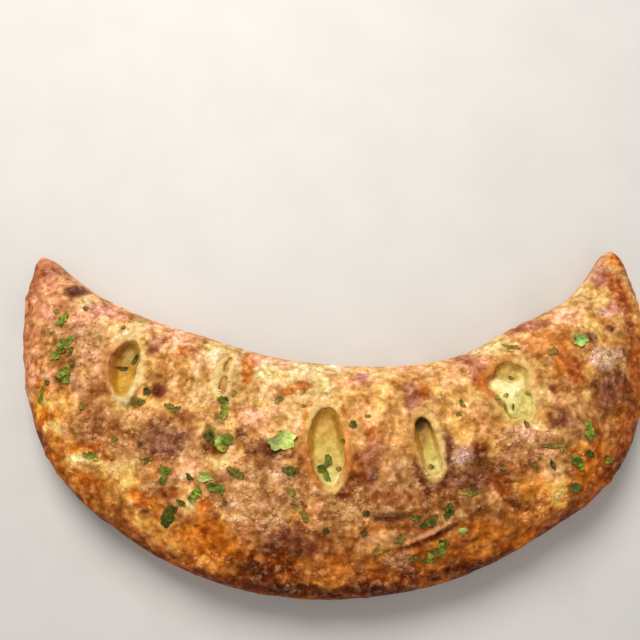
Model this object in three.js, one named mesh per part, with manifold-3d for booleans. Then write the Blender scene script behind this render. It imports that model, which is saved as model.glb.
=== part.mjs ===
// A large calzone: a round of pizza dough folded over its cheese filling, sealed along the outer edge, bent into a
// crescent and baked. It lies on its flat base. Five steam vents are cut through the top crust, and the melted cheese
// shows in them. Chopped parsley is stuck to the crust and to the cheese.
//
// Frame: millimetres, +Z up, +X to the right, the bulging sealed edge facing -Y and the two horns pointing to +Y.
// The origin is on the flat base, under the middle of the crescent's length and depth.
//
// The crescent is a fan. A station t runs along it from the left horn (-1) to the right horn (1), and at each station
// a section runs outward from the folded inner edge to the sealed outer edge.
import * as THREE from "three";
import { mergeVertices } from "three/addons/utils/BufferGeometryUtils.js";
import Module from "manifold-3d";

// ---- The crescent ----
const FAN_CENTRE_Y = 198.4; // the sections all point away from (0, FAN_CENTRE_Y)
const FAN_HALF_ANGLE = THREE.MathUtils.degToRad(54.3);
// One row for each tenth of the fan: distance of the inner and the outer edge from the fan centre, and crown height.
const STATIONS = [
  [189, 196, 14],
  [182.5, 234.5, 29],
  [174.8, 264.7, 39],
  [169.5, 277.9, 43],
  [169.6, 286, 44],
  [171, 287.5, 46],
  [174.6, 284.8, 44],
  [178.4, 276.9, 45],
  [178.2, 267.2, 40],
  [184.1, 236.9, 29],
  [182, 190.5, 14],
];
const NOSE_START = 0.95; // station where a horn starts to round off to its tip
const NOSE_POWER = 2.5; // superellipse power of a horn's tip in plan

// ---- A section ----
const WAIST_SHARE = 0.36; // height of the widest point, as a share of the crown
const TOP_POWERS = [2.3, 2.0]; // superellipse powers of the domed top, across and up
const UNDERSIDE_POWERS = [2.6, 4.5]; // the same for the rounded underside
const FLAT_SHARE = 1.1; // over 1, so that the underside ends in a flat base
const LEAN_IN = 0.1; // how much higher the folded side is than the sealed side
const SEAM_ANGLE = -0.62; // section angle of the rolled seam, low on the outer side
const SEAM_WIDTH = 0.16;
const SEAM_DEPTH = 1.8;

// ---- Crust, filling and gap ----
const CRUST_THICKNESS = 6;
const BASE_THICKNESS = 4;
const FILLING_GAP = 0.45;
const FILLED_SHARE = 0.86; // the hollow for the filling stops this far along each half of the fan
const FILLED_GAP_SHARE = 0.003; // the gap at its two ends, in stations

// ---- Relief of the top crust ----
const BLISTER_COUNT = 34;
const BLISTER_RADIUS = [6, 15];
const BLISTER_HEIGHT = [-1.5, 2.6];
const DIMPLE_DEPTH = 2.8; // the crust puffs up between the vents and sinks round each one
const DIMPLE_MARGIN = 13; // how far a dimple reaches past its vent's opening

// ---- Steam vents: centre, lean of the long axis from +Y, length, width, and how uneven the oval is ----
const VENTS = [
  { at: [-103.4, 24], lean: -5, length: 29, width: 15.5, ragged: 0.07 },
  { at: [-54, 20], lean: -10, length: 19, width: 4.6, ragged: 0.12 },
  { at: [-3.5, -14.8], lean: 4, length: 38, width: 17.5, ragged: 0.03 },
  { at: [45, -14], lean: 13, length: 29, width: 9, ragged: 0.06 },
  { at: [86.5, 13], lean: 20, length: 30, width: 18, ragged: 0.16 },
];
const VENT_LOBES = 3; // swellings round a ragged opening
const VENT_NARROWING = 0.86; // the opening is this much narrower at the filling than at the surface
const LIP_RADIUS = 2.2;
const LIP_OFFSET = 1.7; // the lip's centreline lies this far outside the opening

// Melted cheese standing in a vent, and holes in it: vent, place along and across the vent as shares of its half
// length and half width, radii, and height of the centre above the filling's top.
const CHEESE_MOUNDS = [
  { vent: 2, along: -0.28, across: 0, radii: [6, 9.4, 4.4], rise: -0.6 },
  { vent: 3, along: -0.28, across: 0, radii: [2.5, 6.6, 4.8], rise: 0 },
  { vent: 4, along: -0.08, across: 0, radii: [5.6, 10, 5.6], rise: 0.6 },
  { vent: 0, along: -0.25, across: 0.1, radii: [4.6, 8.4, 2.6], rise: -0.4 },
];
const CHEESE_PITS = [
  { vent: 0, along: 0.42, across: -0.35, radii: [5, 7, 6], rise: 0 },
  { vent: 1, along: 0, across: 0, radii: [4, 9, 3], rise: 0 },
  { vent: 2, along: 0.6, across: 0, radii: [7, 8, 4.5], rise: 0.5 },
  { vent: 3, along: 0.62, across: 0, radii: [4.6, 6.5, 9], rise: 0 },
  { vent: 4, along: 0.75, across: 0, radii: [7, 4.5, 5], rise: 1 },
];

// ---- Pleats: low folds of dough on the slope of the sealed side, each from one point to another ----
const PLEATS = [
  { from: [32, -61], to: [61, -47], sag: -3, radius: 2.1 },
  { from: [57, -60], to: [68, -53], sag: -1, radius: 1.7 },
];

// ---- Chopped parsley: clusters at [x, y], how many flakes, how far they spread, and their mean length ----
const PARSLEY = [
  { at: [-139, 50], count: 2, spread: 5, size: 6 },
  { at: [-138, 34], count: 3, spread: 5, size: 7.5 },
  { at: [-135, 20], count: 2, spread: 3.5, size: 6.5 },
  { at: [-145, 11], count: 1, spread: 0, size: 6.5 },
  { at: [-119, -19], count: 1, spread: 0, size: 6.5 },
  { at: [-92, 5], count: 1, spread: 0, size: 5 },
  { at: [-55, 3], count: 1, spread: 0, size: 7 },
  { at: [-57, -11], count: 2, spread: 5, size: 9 },
  { at: [-24, -11], count: 1, spread: 0, size: 12.5 },
  { at: [-21, -26], count: 1, spread: 0, size: 6 },
  { at: [-47, -28], count: 1, spread: 0, size: 6.5 },
  { at: [-66, -29], count: 2, spread: 5, size: 6 },
  { at: [-56, -35], count: 1, spread: 0, size: 7.5 },
  { at: [-70, -39], count: 2, spread: 5.5, size: 6.5 },
  { at: [-79, -48], count: 1, spread: 0, size: 9.5 },
  { at: [-90, -21], count: 1, spread: 0, size: 5 },
  { at: [-14, -48], count: 2, spread: 4, size: 6 },
  { at: [15, -50], count: 1, spread: 0, size: 5.5 },
  { at: [31, -58], count: 1, spread: 0, size: 6 },
  { at: [42, -42], count: 1, spread: 0, size: 6.5 },
  { at: [54, -42], count: 1, spread: 0, size: 7 },
  { at: [47, -66], count: 4, spread: 7, size: 8 },
  { at: [64, -36], count: 1, spread: 0, size: 7 },
  { at: [64, 5], count: 1, spread: 0, size: 5.5 },
  { at: [109, 32], count: 1, spread: 0, size: 6 },
  { at: [124, 39], count: 1, spread: 0, size: 8 },
  { at: [125, -7], count: 1, spread: 0, size: 7.5 },
  { at: [120, -19], count: 2, spread: 5, size: 6 },
  { at: [106, -19], count: 1, spread: 0, size: 5.5 },
  { at: [136, -21], count: 1, spread: 0, size: 6 },
  { at: [118, -34], count: 1, spread: 0, size: 7 },
];
// Flakes that lie on the cheese in a vent: vent, place along and across it, and length.
const PARSLEY_ON_CHEESE = [
  { vent: 0, along: 0.0, across: 0.1, size: 5 },
  { vent: 2, along: -0.4, across: -0.15, size: 6.5 },
  { vent: 2, along: -0.18, across: 0.25, size: 5 },
  { vent: 4, along: 0.05, across: -0.2, size: 4.6 },
  { vent: 4, along: -0.3, across: 0.2, size: 4.4 },
];
const FLAKE_THICKNESS = 0.9;
const FLAKE_LOBES = 6;
const FLAKE_WIDTH_SHARE = 0.72; // width of a flake as a share of its length
const FLAKE_CURL = 0.8; // how far a flake's rim stands above its middle, which is stuck down

// ---- Mesh steps ----
const STATION_STEPS = 72;
const NOSE_STEPS = 4;
const TOP_STEPS = 22;
const UNDER_STEPS = 10;
const INNER_STATION_STEPS = 28;
const INNER_TOP_STEPS = 10;
const INNER_UNDER_STEPS = 6;
const VENT_STEPS = 20;
const LIP_SECTION_STEPS = 5;
const MOUND_STEPS = [10, 6];

const SEED = 4129;

// A small repeatable random generator: each call gives the next number from 0 to 1.
let randomState = SEED;
function random() {
  randomState = (randomState * 16807) % 2147483647;
  return randomState / 2147483647;
}
const between = (low, high) => low + (high - low) * random();

// Value of one column of STATIONS at station t, by a Catmull-Rom curve through the rows.
function stationValue(column, t) {
  const last = STATIONS.length - 1;
  const place = ((t + 1) / 2) * last;
  const i = Math.min(Math.max(Math.floor(place), 0), last - 1);
  const f = place - i;
  const row = (n) => {
    if (n < 0) return 2 * STATIONS[0][column] - STATIONS[1][column];
    if (n > last) return 2 * STATIONS[last][column] - STATIONS[last - 1][column];
    return STATIONS[n][column];
  };
  const [a, b, c, d] = [row(i - 1), row(i), row(i + 1), row(i + 2)];
  const slopes = (c - a) * f;
  const bend = (2 * a - 5 * b + 4 * c - d) * f * f;
  const twist = (3 * b - 3 * c + d - a) * f * f * f;
  return b + 0.5 * (slopes + bend + twist);
}

// How far a horn has rounded off at station t: 1 along the crescent, 0 at its tip, which is at station reach.
function noseShare(t, reach) {
  const past = Math.max(0, (Math.abs(t) / reach - NOSE_START) / (1 - NOSE_START));
  return Math.max(0, 1 - past ** NOSE_POWER) ** (1 / NOSE_POWER);
}

const signedPower = (value, power) => Math.sign(value) * Math.abs(value) ** power;

// Blisters and hollows of the crust, spread over the fan.
const blisters = Array.from({ length: BLISTER_COUNT }, () => {
  const t = between(-0.92, 0.92);
  const across = between(-0.8, 0.8);
  const inner = stationValue(0, t);
  const outer = stationValue(1, t);
  const distance = (inner + outer) / 2 + (across * (outer - inner)) / 2;
  return {
    x: distance * Math.sin(t * FAN_HALF_ANGLE),
    y: FAN_CENTRE_Y - distance * Math.cos(t * FAN_HALF_ANGLE),
    radius: between(...BLISTER_RADIUS),
    height: between(...BLISTER_HEIGHT),
  };
});

// How far out from a vent's centre a point in plan lies: 1 on the oval that is margin larger all round.
function reachFromVent({ at, lean, length, width }, x, y, margin) {
  const turn = THREE.MathUtils.degToRad(lean);
  const [dx, dy] = [x - at[0], y - at[1]];
  const across = dx * Math.cos(turn) + dy * Math.sin(turn);
  const along = dy * Math.cos(turn) - dx * Math.sin(turn);
  return Math.hypot(across / (width / 2 + margin), along / (length / 2 + margin));
}

// Height that blisters, and the dimples round the vents, add to the crust at a point in plan.
function relief(x, y) {
  const bumps = blisters.map((b) => b.height * Math.exp(-((x - b.x) ** 2 + (y - b.y) ** 2) / b.radius ** 2));
  const dimples = VENTS.map((vent) => -DIMPLE_DEPTH * Math.exp(-(reachFromVent(vent, x, y, DIMPLE_MARGIN) ** 2)));
  return [...bumps, ...dimples].reduce((sum, height) => sum + height, DIMPLE_DEPTH / 2);
}

// Point of the crust's outside at station t and section angle phi. phi is 0 at the outer edge, a quarter turn at the
// crown, half a turn at the inner edge, and below that it runs along the underside. inset moves the surface inward.
function crustPoint(t, phi, { inset = 0, floor = 0, reach = 1, rough = false }) {
  const nose = noseShare(t, reach);
  const inner = stationValue(0, t) + inset;
  const outer = stationValue(1, t) - inset;
  const crown = stationValue(2, t) - inset;
  const waist = Math.max(WAIST_SHARE * stationValue(2, t), floor + 1);
  const top = Math.sin(phi) >= 0;
  const [acrossPower, upPower] = top ? TOP_POWERS : UNDERSIDE_POWERS;
  const across = signedPower(Math.cos(phi), 2 / acrossPower);
  const up = Math.abs(Math.sin(phi)) ** (2 / upPower);
  const rolled = Math.exp(-(((Math.asin(Math.sin(phi)) - SEAM_ANGLE) / SEAM_WIDTH) ** 2));
  const seam = rough && Math.cos(phi) > 0 ? SEAM_DEPTH * rolled : 0;
  const halfWidth = (Math.max(outer - inner, 0) / 2) * nose;
  const distance = (inner + outer) / 2 + across * halfWidth - seam * nose;
  const angle = t * FAN_HALF_ANGLE;
  const x = distance * Math.sin(angle);
  const y = FAN_CENTRE_Y - distance * Math.cos(angle);
  if (!top) {
    const depth = Math.min(1, FLAT_SHARE * up * nose);
    return new THREE.Vector3(x, y, waist + (floor - waist) * depth);
  }
  const dome = (crown - waist) * up * (1 - LEAN_IN * across * up) * nose;
  const bumps = rough ? relief(x, y) * up * nose : 0;
  return new THREE.Vector3(x, y, waist + dome + bumps);
}

// A closed skin over rings of points, each ring having as many points. A loop joins the last ring to the first; an
// open run of rings is closed by a fan at each end, whose middle lies dip below the ring.
function skin(rings, loop, dip = 0) {
  const count = rings[0].length;
  const points = rings.flat();
  const faces = [];
  const runs = loop ? rings.length : rings.length - 1;
  for (let j = 0; j < runs; j++)
    for (let i = 0; i < count; i++) {
      const a = j * count + i;
      const b = j * count + ((i + 1) % count);
      const c = ((j + 1) % rings.length) * count + ((i + 1) % count);
      const d = ((j + 1) % rings.length) * count + i;
      faces.push(a, b, c, a, c, d);
    }
  if (!loop) {
    const middle = (ring) => ring.reduce((sum, p) => sum.add(p), new THREE.Vector3()).divideScalar(count);
    const start = points.push(middle(rings[0])) - 1;
    const end = points.push(middle(rings.at(-1))) - 1;
    const base = (rings.length - 1) * count;
    for (let i = 0; i < count; i++) {
      const next = (i + 1) % count;
      faces.push(start, next, i, end, base + i, base + next);
    }
    points[start].z -= dip;
    points[end].z -= dip;
  }
  const geometry = new THREE.BufferGeometry().setFromPoints(points);
  geometry.setIndex(faces);
  return geometry;
}

const wasm = await Module();
wasm.setup();

// A closed geometry as a solid that can be joined and cut, turned the right way out.
function solid(geometry) {
  const bare = new THREE.BufferGeometry();
  bare.setAttribute("position", geometry.getAttribute("position"));
  if (geometry.index) bare.setIndex(geometry.index);
  const merged = mergeVertices(bare, 1e-4);
  const triVerts = new Uint32Array(merged.index.array);
  const vertProperties = new Float32Array(merged.attributes.position.array);
  const make = () => new wasm.Manifold(new wasm.Mesh({ numProp: 3, vertProperties, triVerts }));
  const made = make();
  if (made.volume() > 0) return made;
  for (let i = 0; i < triVerts.length; i += 3)
    [triVerts[i + 1], triVerts[i + 2]] = [triVerts[i + 2], triVerts[i + 1]];
  return make();
}

// A solid's triangles as a geometry for a mesh.
function geometryOf(made) {
  const { numProp, vertProperties, triVerts } = made.getMesh();
  const points = [];
  for (let i = 0; i < vertProperties.length; i += numProp) points.push(...vertProperties.subarray(i, i + 3));
  const geometry = new THREE.BufferGeometry();
  geometry.setAttribute("position", new THREE.Float32BufferAttribute(points, 3));
  geometry.setIndex([...triVerts]);
  geometry.computeVertexNormals();
  return geometry;
}

// Stations from one horn to the other, closer together where the noses round off.
function stationsAlong(steps, reach) {
  const main = Array.from({ length: steps + 1 }, (_, i) => NOSE_START * ((2 * i) / steps - 1));
  const nose = Array.from({ length: NOSE_STEPS - 1 }, (_, i) => {
    const turn = ((i + 1) / NOSE_STEPS) * (Math.PI / 2);
    return NOSE_START + (1 - NOSE_START) * Math.sin(turn);
  });
  return [...nose.map((t) => -t).reverse(), ...main, ...nose].map((t) => t * reach);
}

// Section angles from the outer edge over the crown to the inner edge, and back along the underside.
function anglesAround(topSteps, underSteps) {
  const top = Array.from({ length: topSteps }, (_, i) => (Math.PI * i) / topSteps);
  const under = Array.from({ length: underSteps }, (_, i) => Math.PI + (Math.PI * i) / underSteps);
  return [...top, ...under];
}

// The crescent as a solid: the whole crust with its relief, or a smooth inner one.
function crescent(steps, angles, shape) {
  const rings = stationsAlong(steps, shape.reach ?? 1).map((t) => angles.map((phi) => crustPoint(t, phi, shape)));
  return solid(skin(rings, false));
}

// Height of a solid's surface straight below a high point, and its normal there.
function probe(made) {
  const mesh = new THREE.Mesh(geometryOf(made), new THREE.MeshBasicMaterial({ side: THREE.DoubleSide }));
  const ray = new THREE.Raycaster();
  return (x, y) => {
    ray.set(new THREE.Vector3(x, y, 200), new THREE.Vector3(0, 0, -1));
    const hit = ray.intersectObject(mesh)[0];
    return hit && { height: hit.point.z, normal: hit.face.normal.clone() };
  };
}

// A point in plan at an angle round a vent's ragged oval, scaled about its centre and then pushed outward.
function roundVent(vent, turn, scale, push = 0) {
  const swell = scale * (1 + vent.ragged * Math.cos(VENT_LOBES * turn + vent.at[0]));
  const across = (vent.width / 2) * swell + push;
  const along = (vent.length / 2) * swell + push;
  return inVent(vent, Math.cos(turn) * across, Math.sin(turn) * along);
}

// A point in plan at so many millimetres across and along a vent.
function inVent(vent, across, along) {
  const lean = THREE.MathUtils.degToRad(vent.lean);
  return [
    vent.at[0] + across * Math.cos(lean) - along * Math.sin(lean),
    vent.at[1] + across * Math.sin(lean) + along * Math.cos(lean),
  ];
}

// The cutter of a vent: a ragged funnel whose ends follow the crust's surface below it and above it.
function ventCutter(vent, surface) {
  const rings = [
    [-CRUST_THICKNESS * 1.9, VENT_NARROWING],
    [-CRUST_THICKNESS * 0.5, VENT_NARROWING],
    [LIP_RADIUS * 0.5, 1],
    [LIP_RADIUS * 4, 1.1],
  ].map(([height, scale]) =>
    Array.from({ length: VENT_STEPS }, (_, i) => {
      const [x, y] = roundVent(vent, (2 * Math.PI * i) / VENT_STEPS, scale);
      return new THREE.Vector3(x, y, surface(x, y).height + height);
    }),
  );
  return solid(skin(rings, false));
}

// The lip of a vent: a low roll of dough round the opening, lying on the crust.
function ventLip(vent, surface) {
  const centres = Array.from({ length: VENT_STEPS }, (_, i) => {
    const [x, y] = roundVent(vent, (2 * Math.PI * i) / VENT_STEPS, 1, LIP_OFFSET);
    return new THREE.Vector3(x, y, surface(x, y).height - LIP_RADIUS * 0.35);
  });
  return tube(centres, () => LIP_RADIUS, LIP_SECTION_STEPS, true);
}

// A tube round a run of points, whose radius changes with the share of its length.
function tube(centres, radiusAt, around, loop) {
  const rings = centres.map((centre, j) => {
    const before = centres[loop ? (j + centres.length - 1) % centres.length : Math.max(j - 1, 0)];
    const after = centres[loop ? (j + 1) % centres.length : Math.min(j + 1, centres.length - 1)];
    const tangent = after.clone().sub(before).normalize();
    const side = new THREE.Vector3(0, 0, 1).cross(tangent).normalize();
    const up = tangent.clone().cross(side);
    const radius = radiusAt(j / (centres.length - 1));
    return Array.from({ length: around }, (_, i) => {
      const turn = (2 * Math.PI * i) / around;
      return centre
        .clone()
        .addScaledVector(side, radius * Math.cos(turn))
        .addScaledVector(up, radius * Math.sin(turn));
    });
  });
  return solid(skin(rings, loop));
}

// A pleat: a fold of dough along a sagging line on the crust, thin at both ends.
function pleat({ from, to, sag, radius }, surface) {
  const steps = 10;
  const [dx, dy] = [to[0] - from[0], to[1] - from[1]];
  const length = Math.hypot(dx, dy);
  const centres = Array.from({ length: steps + 1 }, (_, i) => {
    const share = i / steps;
    const bow = 4 * share * (1 - share) * sag;
    const x = from[0] + dx * share - (dy / length) * bow;
    const y = from[1] + dy * share + (dx / length) * bow;
    return new THREE.Vector3(x, y, surface(x, y).height - radius * 0.3);
  });
  return tube(centres, (share) => radius * (0.35 + 0.65 * Math.sin(Math.PI * share)), LIP_SECTION_STEPS, false);
}

// A flattened ball of cheese, or the hollow that one leaves, in a vent.
function cheeseBall({ vent, along, across, radii, rise }, surface) {
  const own = VENTS[vent];
  const [x, y] = inVent(own, (across * own.width) / 2, (along * own.length) / 2);
  const ball = new THREE.SphereGeometry(1, ...MOUND_STEPS);
  ball.scale(...radii);
  ball.rotateZ(THREE.MathUtils.degToRad(own.lean));
  ball.translate(x, y, surface(x, y).height + rise);
  return solid(ball);
}

// A chopped leaf: a thin, wavy, lobed piece whose middle is stuck to a surface and whose rim curls up from it.
function flake(x, y, size, surface) {
  const seat = surface(x, y);
  const rim = Array.from({ length: FLAKE_LOBES }, (_, i) => {
    const angle = (2 * Math.PI * i) / FLAKE_LOBES;
    const reach = size * (i % 2 ? between(0.3, 0.42) : between(0.46, 0.56));
    const curl = FLAKE_CURL * between(0.6, 1.5);
    return new THREE.Vector3(Math.cos(angle) * reach, Math.sin(angle) * reach * FLAKE_WIDTH_SHARE, curl);
  });
  const above = rim.map((point) => point.clone().setZ(point.z + FLAKE_THICKNESS));
  const leaf = skin([rim, above], false, FLAKE_CURL * 1.4);
  leaf.rotateZ(between(0, 2 * Math.PI));
  leaf.applyQuaternion(new THREE.Quaternion().setFromUnitVectors(new THREE.Vector3(0, 0, 1), seat.normal));
  leaf.translate(x, y, seat.height);
  return solid(leaf);
}

// Places for the flakes of every cluster on the crust.
function flakePlaces() {
  return PARSLEY.flatMap(({ at, count, spread, size }) =>
    Array.from({ length: count }, () => {
      const turn = between(0, 2 * Math.PI);
      const away = spread * Math.sqrt(random());
      return {
        x: at[0] + away * Math.cos(turn),
        y: at[1] + away * Math.sin(turn),
        size: size * between(0.85, 1.15),
      };
    }),
  );
}

const clearOfVents = ({ x, y, size }) =>
  VENTS.every((vent) => reachFromVent(vent, x, y, size / 2 + LIP_OFFSET) > 1);

const join = (solids) => wasm.Manifold.union(solids);

// A solid's largest skin alone: small hollows sealed by joining are filled, and loose scraps are dropped.
const largestSkin = (made) => made.decompose().reduce((a, b) => (b.volume() > a.volume() ? b : a));

// ---- The crust ----
function makeCrust() {
  const loaf = crescent(STATION_STEPS, anglesAround(TOP_STEPS, UNDER_STEPS), { rough: true });
  const smooth = probe(loaf);
  const dressed = join([
    loaf,
    ...VENTS.map((vent) => ventLip(vent, smooth)),
    ...PLEATS.map((fold) => pleat(fold, smooth)),
  ]);
  const surface = probe(dressed);
  const flakes = flakePlaces()
    .filter((place) => surface(place.x, place.y) && clearOfVents(place))
    .map(({ x, y, size }) => flake(x, y, size, surface));
  const hollow = crescent(INNER_STATION_STEPS, anglesAround(INNER_TOP_STEPS, INNER_UNDER_STEPS), {
    inset: CRUST_THICKNESS,
    floor: BASE_THICKNESS,
    reach: FILLED_SHARE,
  });
  const cutters = VENTS.map((vent) => ventCutter(vent, smooth));
  return largestSkin(join([dressed, ...flakes]).subtract(join([hollow, ...cutters])));
}

// ---- The filling ----
function makeFilling() {
  const core = crescent(INNER_STATION_STEPS, anglesAround(INNER_TOP_STEPS, INNER_UNDER_STEPS), {
    inset: CRUST_THICKNESS + FILLING_GAP,
    floor: BASE_THICKNESS + FILLING_GAP,
    reach: FILLED_SHARE - FILLED_GAP_SHARE,
  });
  const level = probe(core);
  const mounds = CHEESE_MOUNDS.map((mound) => cheeseBall(mound, level));
  const pits = CHEESE_PITS.map((pit) => cheeseBall(pit, level));
  const cheese = join([core.subtract(join(pits)), ...mounds]);
  const surface = probe(cheese);
  const flakes = PARSLEY_ON_CHEESE.map(({ vent, along, across, size }) => {
    const { width, length } = VENTS[vent];
    return flake(...inVent(VENTS[vent], (across * width) / 2, (along * length) / 2), size, surface);
  });
  return largestSkin(join([cheese, ...flakes]));
}

function namedMesh(name, made, colour, roughness) {
  const material = new THREE.MeshStandardMaterial({ color: colour, roughness, metalness: 0 });
  const mesh = new THREE.Mesh(geometryOf(made), material);
  mesh.name = name;
  return mesh;
}

const calzone = new THREE.Group();
calzone.add(namedMesh("crust", makeCrust(), 0xc98745, 0.6));
calzone.add(namedMesh("cheese_filling", makeFilling(), 0xead98e, 0.4));

export default calzone;
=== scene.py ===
"""A baked calzone, bent into a crescent, with melted cheese in its steam vents and parsley on its crust.

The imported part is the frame: crust and filling have its shape, with the fine relief of the baked dough added.
Shapes are worked out in millimetres and turned into metres when a mesh is made.
"""
import math
from itertools import product

import bpy
import numpy as np
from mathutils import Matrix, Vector
from mathutils.bvhtree import BVHTree


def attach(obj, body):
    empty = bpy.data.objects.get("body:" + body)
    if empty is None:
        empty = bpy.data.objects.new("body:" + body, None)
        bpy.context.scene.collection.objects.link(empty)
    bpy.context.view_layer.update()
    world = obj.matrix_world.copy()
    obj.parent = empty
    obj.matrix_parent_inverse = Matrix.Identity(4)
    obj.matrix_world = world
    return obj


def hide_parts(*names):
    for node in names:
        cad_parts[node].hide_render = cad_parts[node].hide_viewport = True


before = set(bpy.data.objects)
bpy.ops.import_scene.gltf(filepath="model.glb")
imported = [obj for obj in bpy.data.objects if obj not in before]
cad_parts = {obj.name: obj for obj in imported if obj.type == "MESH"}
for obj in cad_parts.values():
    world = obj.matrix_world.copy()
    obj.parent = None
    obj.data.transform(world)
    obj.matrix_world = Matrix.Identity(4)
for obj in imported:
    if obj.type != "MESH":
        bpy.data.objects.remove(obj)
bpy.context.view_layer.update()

MM = 0.001

# ---- The crescent, as in the part ----
FAN_CENTRE_Y = 198.4
FAN_HALF_ANGLE = math.radians(54.3)
# Distance of the inner and the outer edge from the fan centre, and crown height, at each tenth of the fan.
STATIONS = np.array([
    [189, 196, 14], [182.5, 234.5, 29], [174.8, 264.7, 39], [169.5, 277.9, 43], [169.6, 286, 44],
    [171, 287.5, 46], [174.6, 284.8, 44], [178.4, 276.9, 45], [178.2, 267.2, 40], [184.1, 236.9, 29],
    [182, 190.5, 14],
])
NOSE_START = 0.95
NOSE_POWER = 2.5
WAIST_SHARE = 0.36
TOP_POWERS = (2.3, 2.0)
UNDERSIDE_POWERS = (2.6, 4.5)
FLAT_SHARE = 1.1
LEAN_IN = 0.1
SEAM_ANGLE = -0.62
SEAM_WIDTH = 0.16
SEAM_DEPTH = 1.8
CRUST_THICKNESS = 6
BASE_THICKNESS = 4
FILLING_GAP = 0.45
FILLED_SHARE = 0.86
FILLED_GAP_SHARE = 0.003
BLISTER_COUNT = 34
BLISTER_RADIUS = (6, 15)
BLISTER_HEIGHT = (-1.5, 2.6)
DIMPLE_DEPTH = 2.8
DIMPLE_MARGIN = 13
SEED = 4129

# ---- Steam vents: the part's, two of them fitted again by up to 2 mm, and all with a more torn edge ----
# ragged, torn: how lobed and how jagged the edge is. power: 2 for an oval, more for a blunter one.
# lip: radius of the rolled edge, how much it varies, and the turn at which it is thickest, in degrees from
# the vent's right side. wall: width of the slope inside the edge, how much it varies, and the turn where it
# is widest. pool: how deep the cheese stands below the crust at the far end (+Y), in the middle and at the
# near end. clots: how much lumpier than usual the cheese is. rim, slope: tones round the edge and down the
# slope, by turn; the dark slope tones on the far side are painted shade under the far edge, and the first
# vent's palest near-end rim tones are partly painted highlight. cheese: tones from the far end to the near
# one, darker at the far end partly as painted shade.
VENTS = [
    dict(at=(-103.1, 24), lean=-5, length=29, width=14.6, ragged=0.07, torn=0.015, power=2.0,
         lip=(1.5, 0.5, -20), wall=(4.6, 2.4, 130), pool=(4.6, 4.4, 2.8),
         rim=[(0, (252, 224, 150)), (45, (238, 200, 118)), (90, (246, 216, 140)), (140, (222, 162, 94)),
              (180, (204, 140, 84)), (225, (212, 154, 86)), (270, (255, 238, 176)), (315, (252, 232, 164))],
         slope=[(0, (184, 146, 66)), (50, (176, 136, 58)), (100, (148, 92, 24)), (150, (140, 80, 16)),
                (200, (164, 102, 24)), (240, (188, 130, 30)), (280, (206, 166, 58)), (320, (198, 170, 70))],
         cheese=[(156, 102, 30), (174, 130, 54), (184, 130, 38), (204, 152, 30), (206, 160, 40)]),
    dict(at=(-54, 20), lean=-10, length=19, width=4.6, ragged=0.12, torn=0.06, power=2.4,
         lip=(0.9, 0.2, 200), wall=(1.2, 0, 0), pool=(2.4, 1.1, 2.2),
         rim=[(0, (244, 208, 130)), (90, (240, 206, 128)), (180, (248, 216, 142)), (270, (250, 224, 156))],
         slope=[(0, (216, 174, 98)), (90, (202, 158, 80)), (180, (220, 180, 104)), (270, (206, 160, 86))],
         cheese=[(212, 174, 100), (200, 156, 80), (202, 154, 74), (190, 138, 56)]),
    dict(at=(-3.5, -14.8), lean=4, length=38, width=17.5, ragged=0.03, torn=0.015, power=2.1,
         lip=(1.7, 0.5, -70), wall=(4.2, 2.4, 90), pool=(3.8, 3.0, 1.8),
         rim=[(0, (240, 168, 84)), (25, (244, 174, 92)), (45, (238, 196, 112)), (75, (246, 212, 130)),
              (110, (246, 212, 132)), (150, (240, 196, 110)), (180, (214, 140, 66)), (220, (198, 120, 56)),
              (242, (202, 132, 66)), (264, (250, 220, 142)), (288, (248, 214, 134)), (312, (230, 178, 96)),
              (335, (206, 126, 60))],
         slope=[(0, (196, 148, 56)), (60, (176, 124, 30)), (90, (156, 104, 14)), (120, (168, 112, 24)),
                (180, (182, 126, 40)), (225, (208, 164, 80)), (270, (236, 216, 130)), (315, (224, 200, 112))],
         cheese=[(184, 138, 40), (212, 172, 78), (218, 186, 88), (232, 220, 138)]),
    dict(at=(45, -14), lean=13, length=29, width=9, ragged=0.02, torn=0.01, power=3.0,
         lip=(0.8, 0.2, 270), wall=(2.6, 0.8, 250), pool=(5.0, 2.8, 0.7),
         rim=[(0, (242, 206, 130)), (90, (226, 176, 100)), (180, (206, 152, 80)), (270, (246, 220, 146))],
         slope=[(0, (208, 170, 84)), (60, (150, 104, 36)), (90, (128, 86, 24)), (180, (176, 124, 34)),
                (270, (230, 212, 128))],
         cheese=[(122, 84, 32), (146, 102, 32), (202, 166, 76), (218, 194, 102), (232, 214, 134)]),
    dict(at=(85.6, 13), lean=15, length=29, width=20, ragged=0.11, torn=0.075, power=2.1,
         lip=(1.6, 0.9, 110), wall=(3.6, 1.6, 130), pool=(4.2, 1.9, 1.3), clots=2.0,
         rim=[(0, (246, 214, 134)), (60, (230, 180, 96)), (100, (224, 160, 78)), (132, (216, 138, 58)),
              (155, (204, 112, 44)), (174, (208, 122, 52)), (190, (228, 172, 92)), (225, (234, 194, 110)),
              (260, (240, 210, 122)), (310, (246, 222, 138))],
         slope=[(0, (216, 190, 108)), (50, (176, 136, 44)), (80, (150, 98, 20)), (125, (144, 88, 18)),
                (160, (190, 120, 46)), (190, (206, 130, 56)), (225, (132, 112, 28)), (250, (190, 168, 70)),
                (285, (230, 210, 120)), (330, (228, 208, 122))],
         cheese=[(180, 136, 50), (208, 172, 86), (246, 230, 150), (240, 220, 134), (206, 186, 86)]),
]
VENT_LOBES = 3
VENT_DEPTH = 10  # how far a vent is sunk below the crust, past the filling's top
VENT_WALL = 1.8  # width of the crust's own steep edge in a vent
POOL_EDGE = 0.8  # how far below the crust the cheese clings to a vent's edge
POOL_REACH = 1.8  # how far it runs under the crust
LIP_OFFSET = 1.7
RIM_REACH = 8  # how far beyond its edge a vent may tint the crust
CORE_TONE = (226, 196, 112)  # cheese that no vent shows
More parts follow.
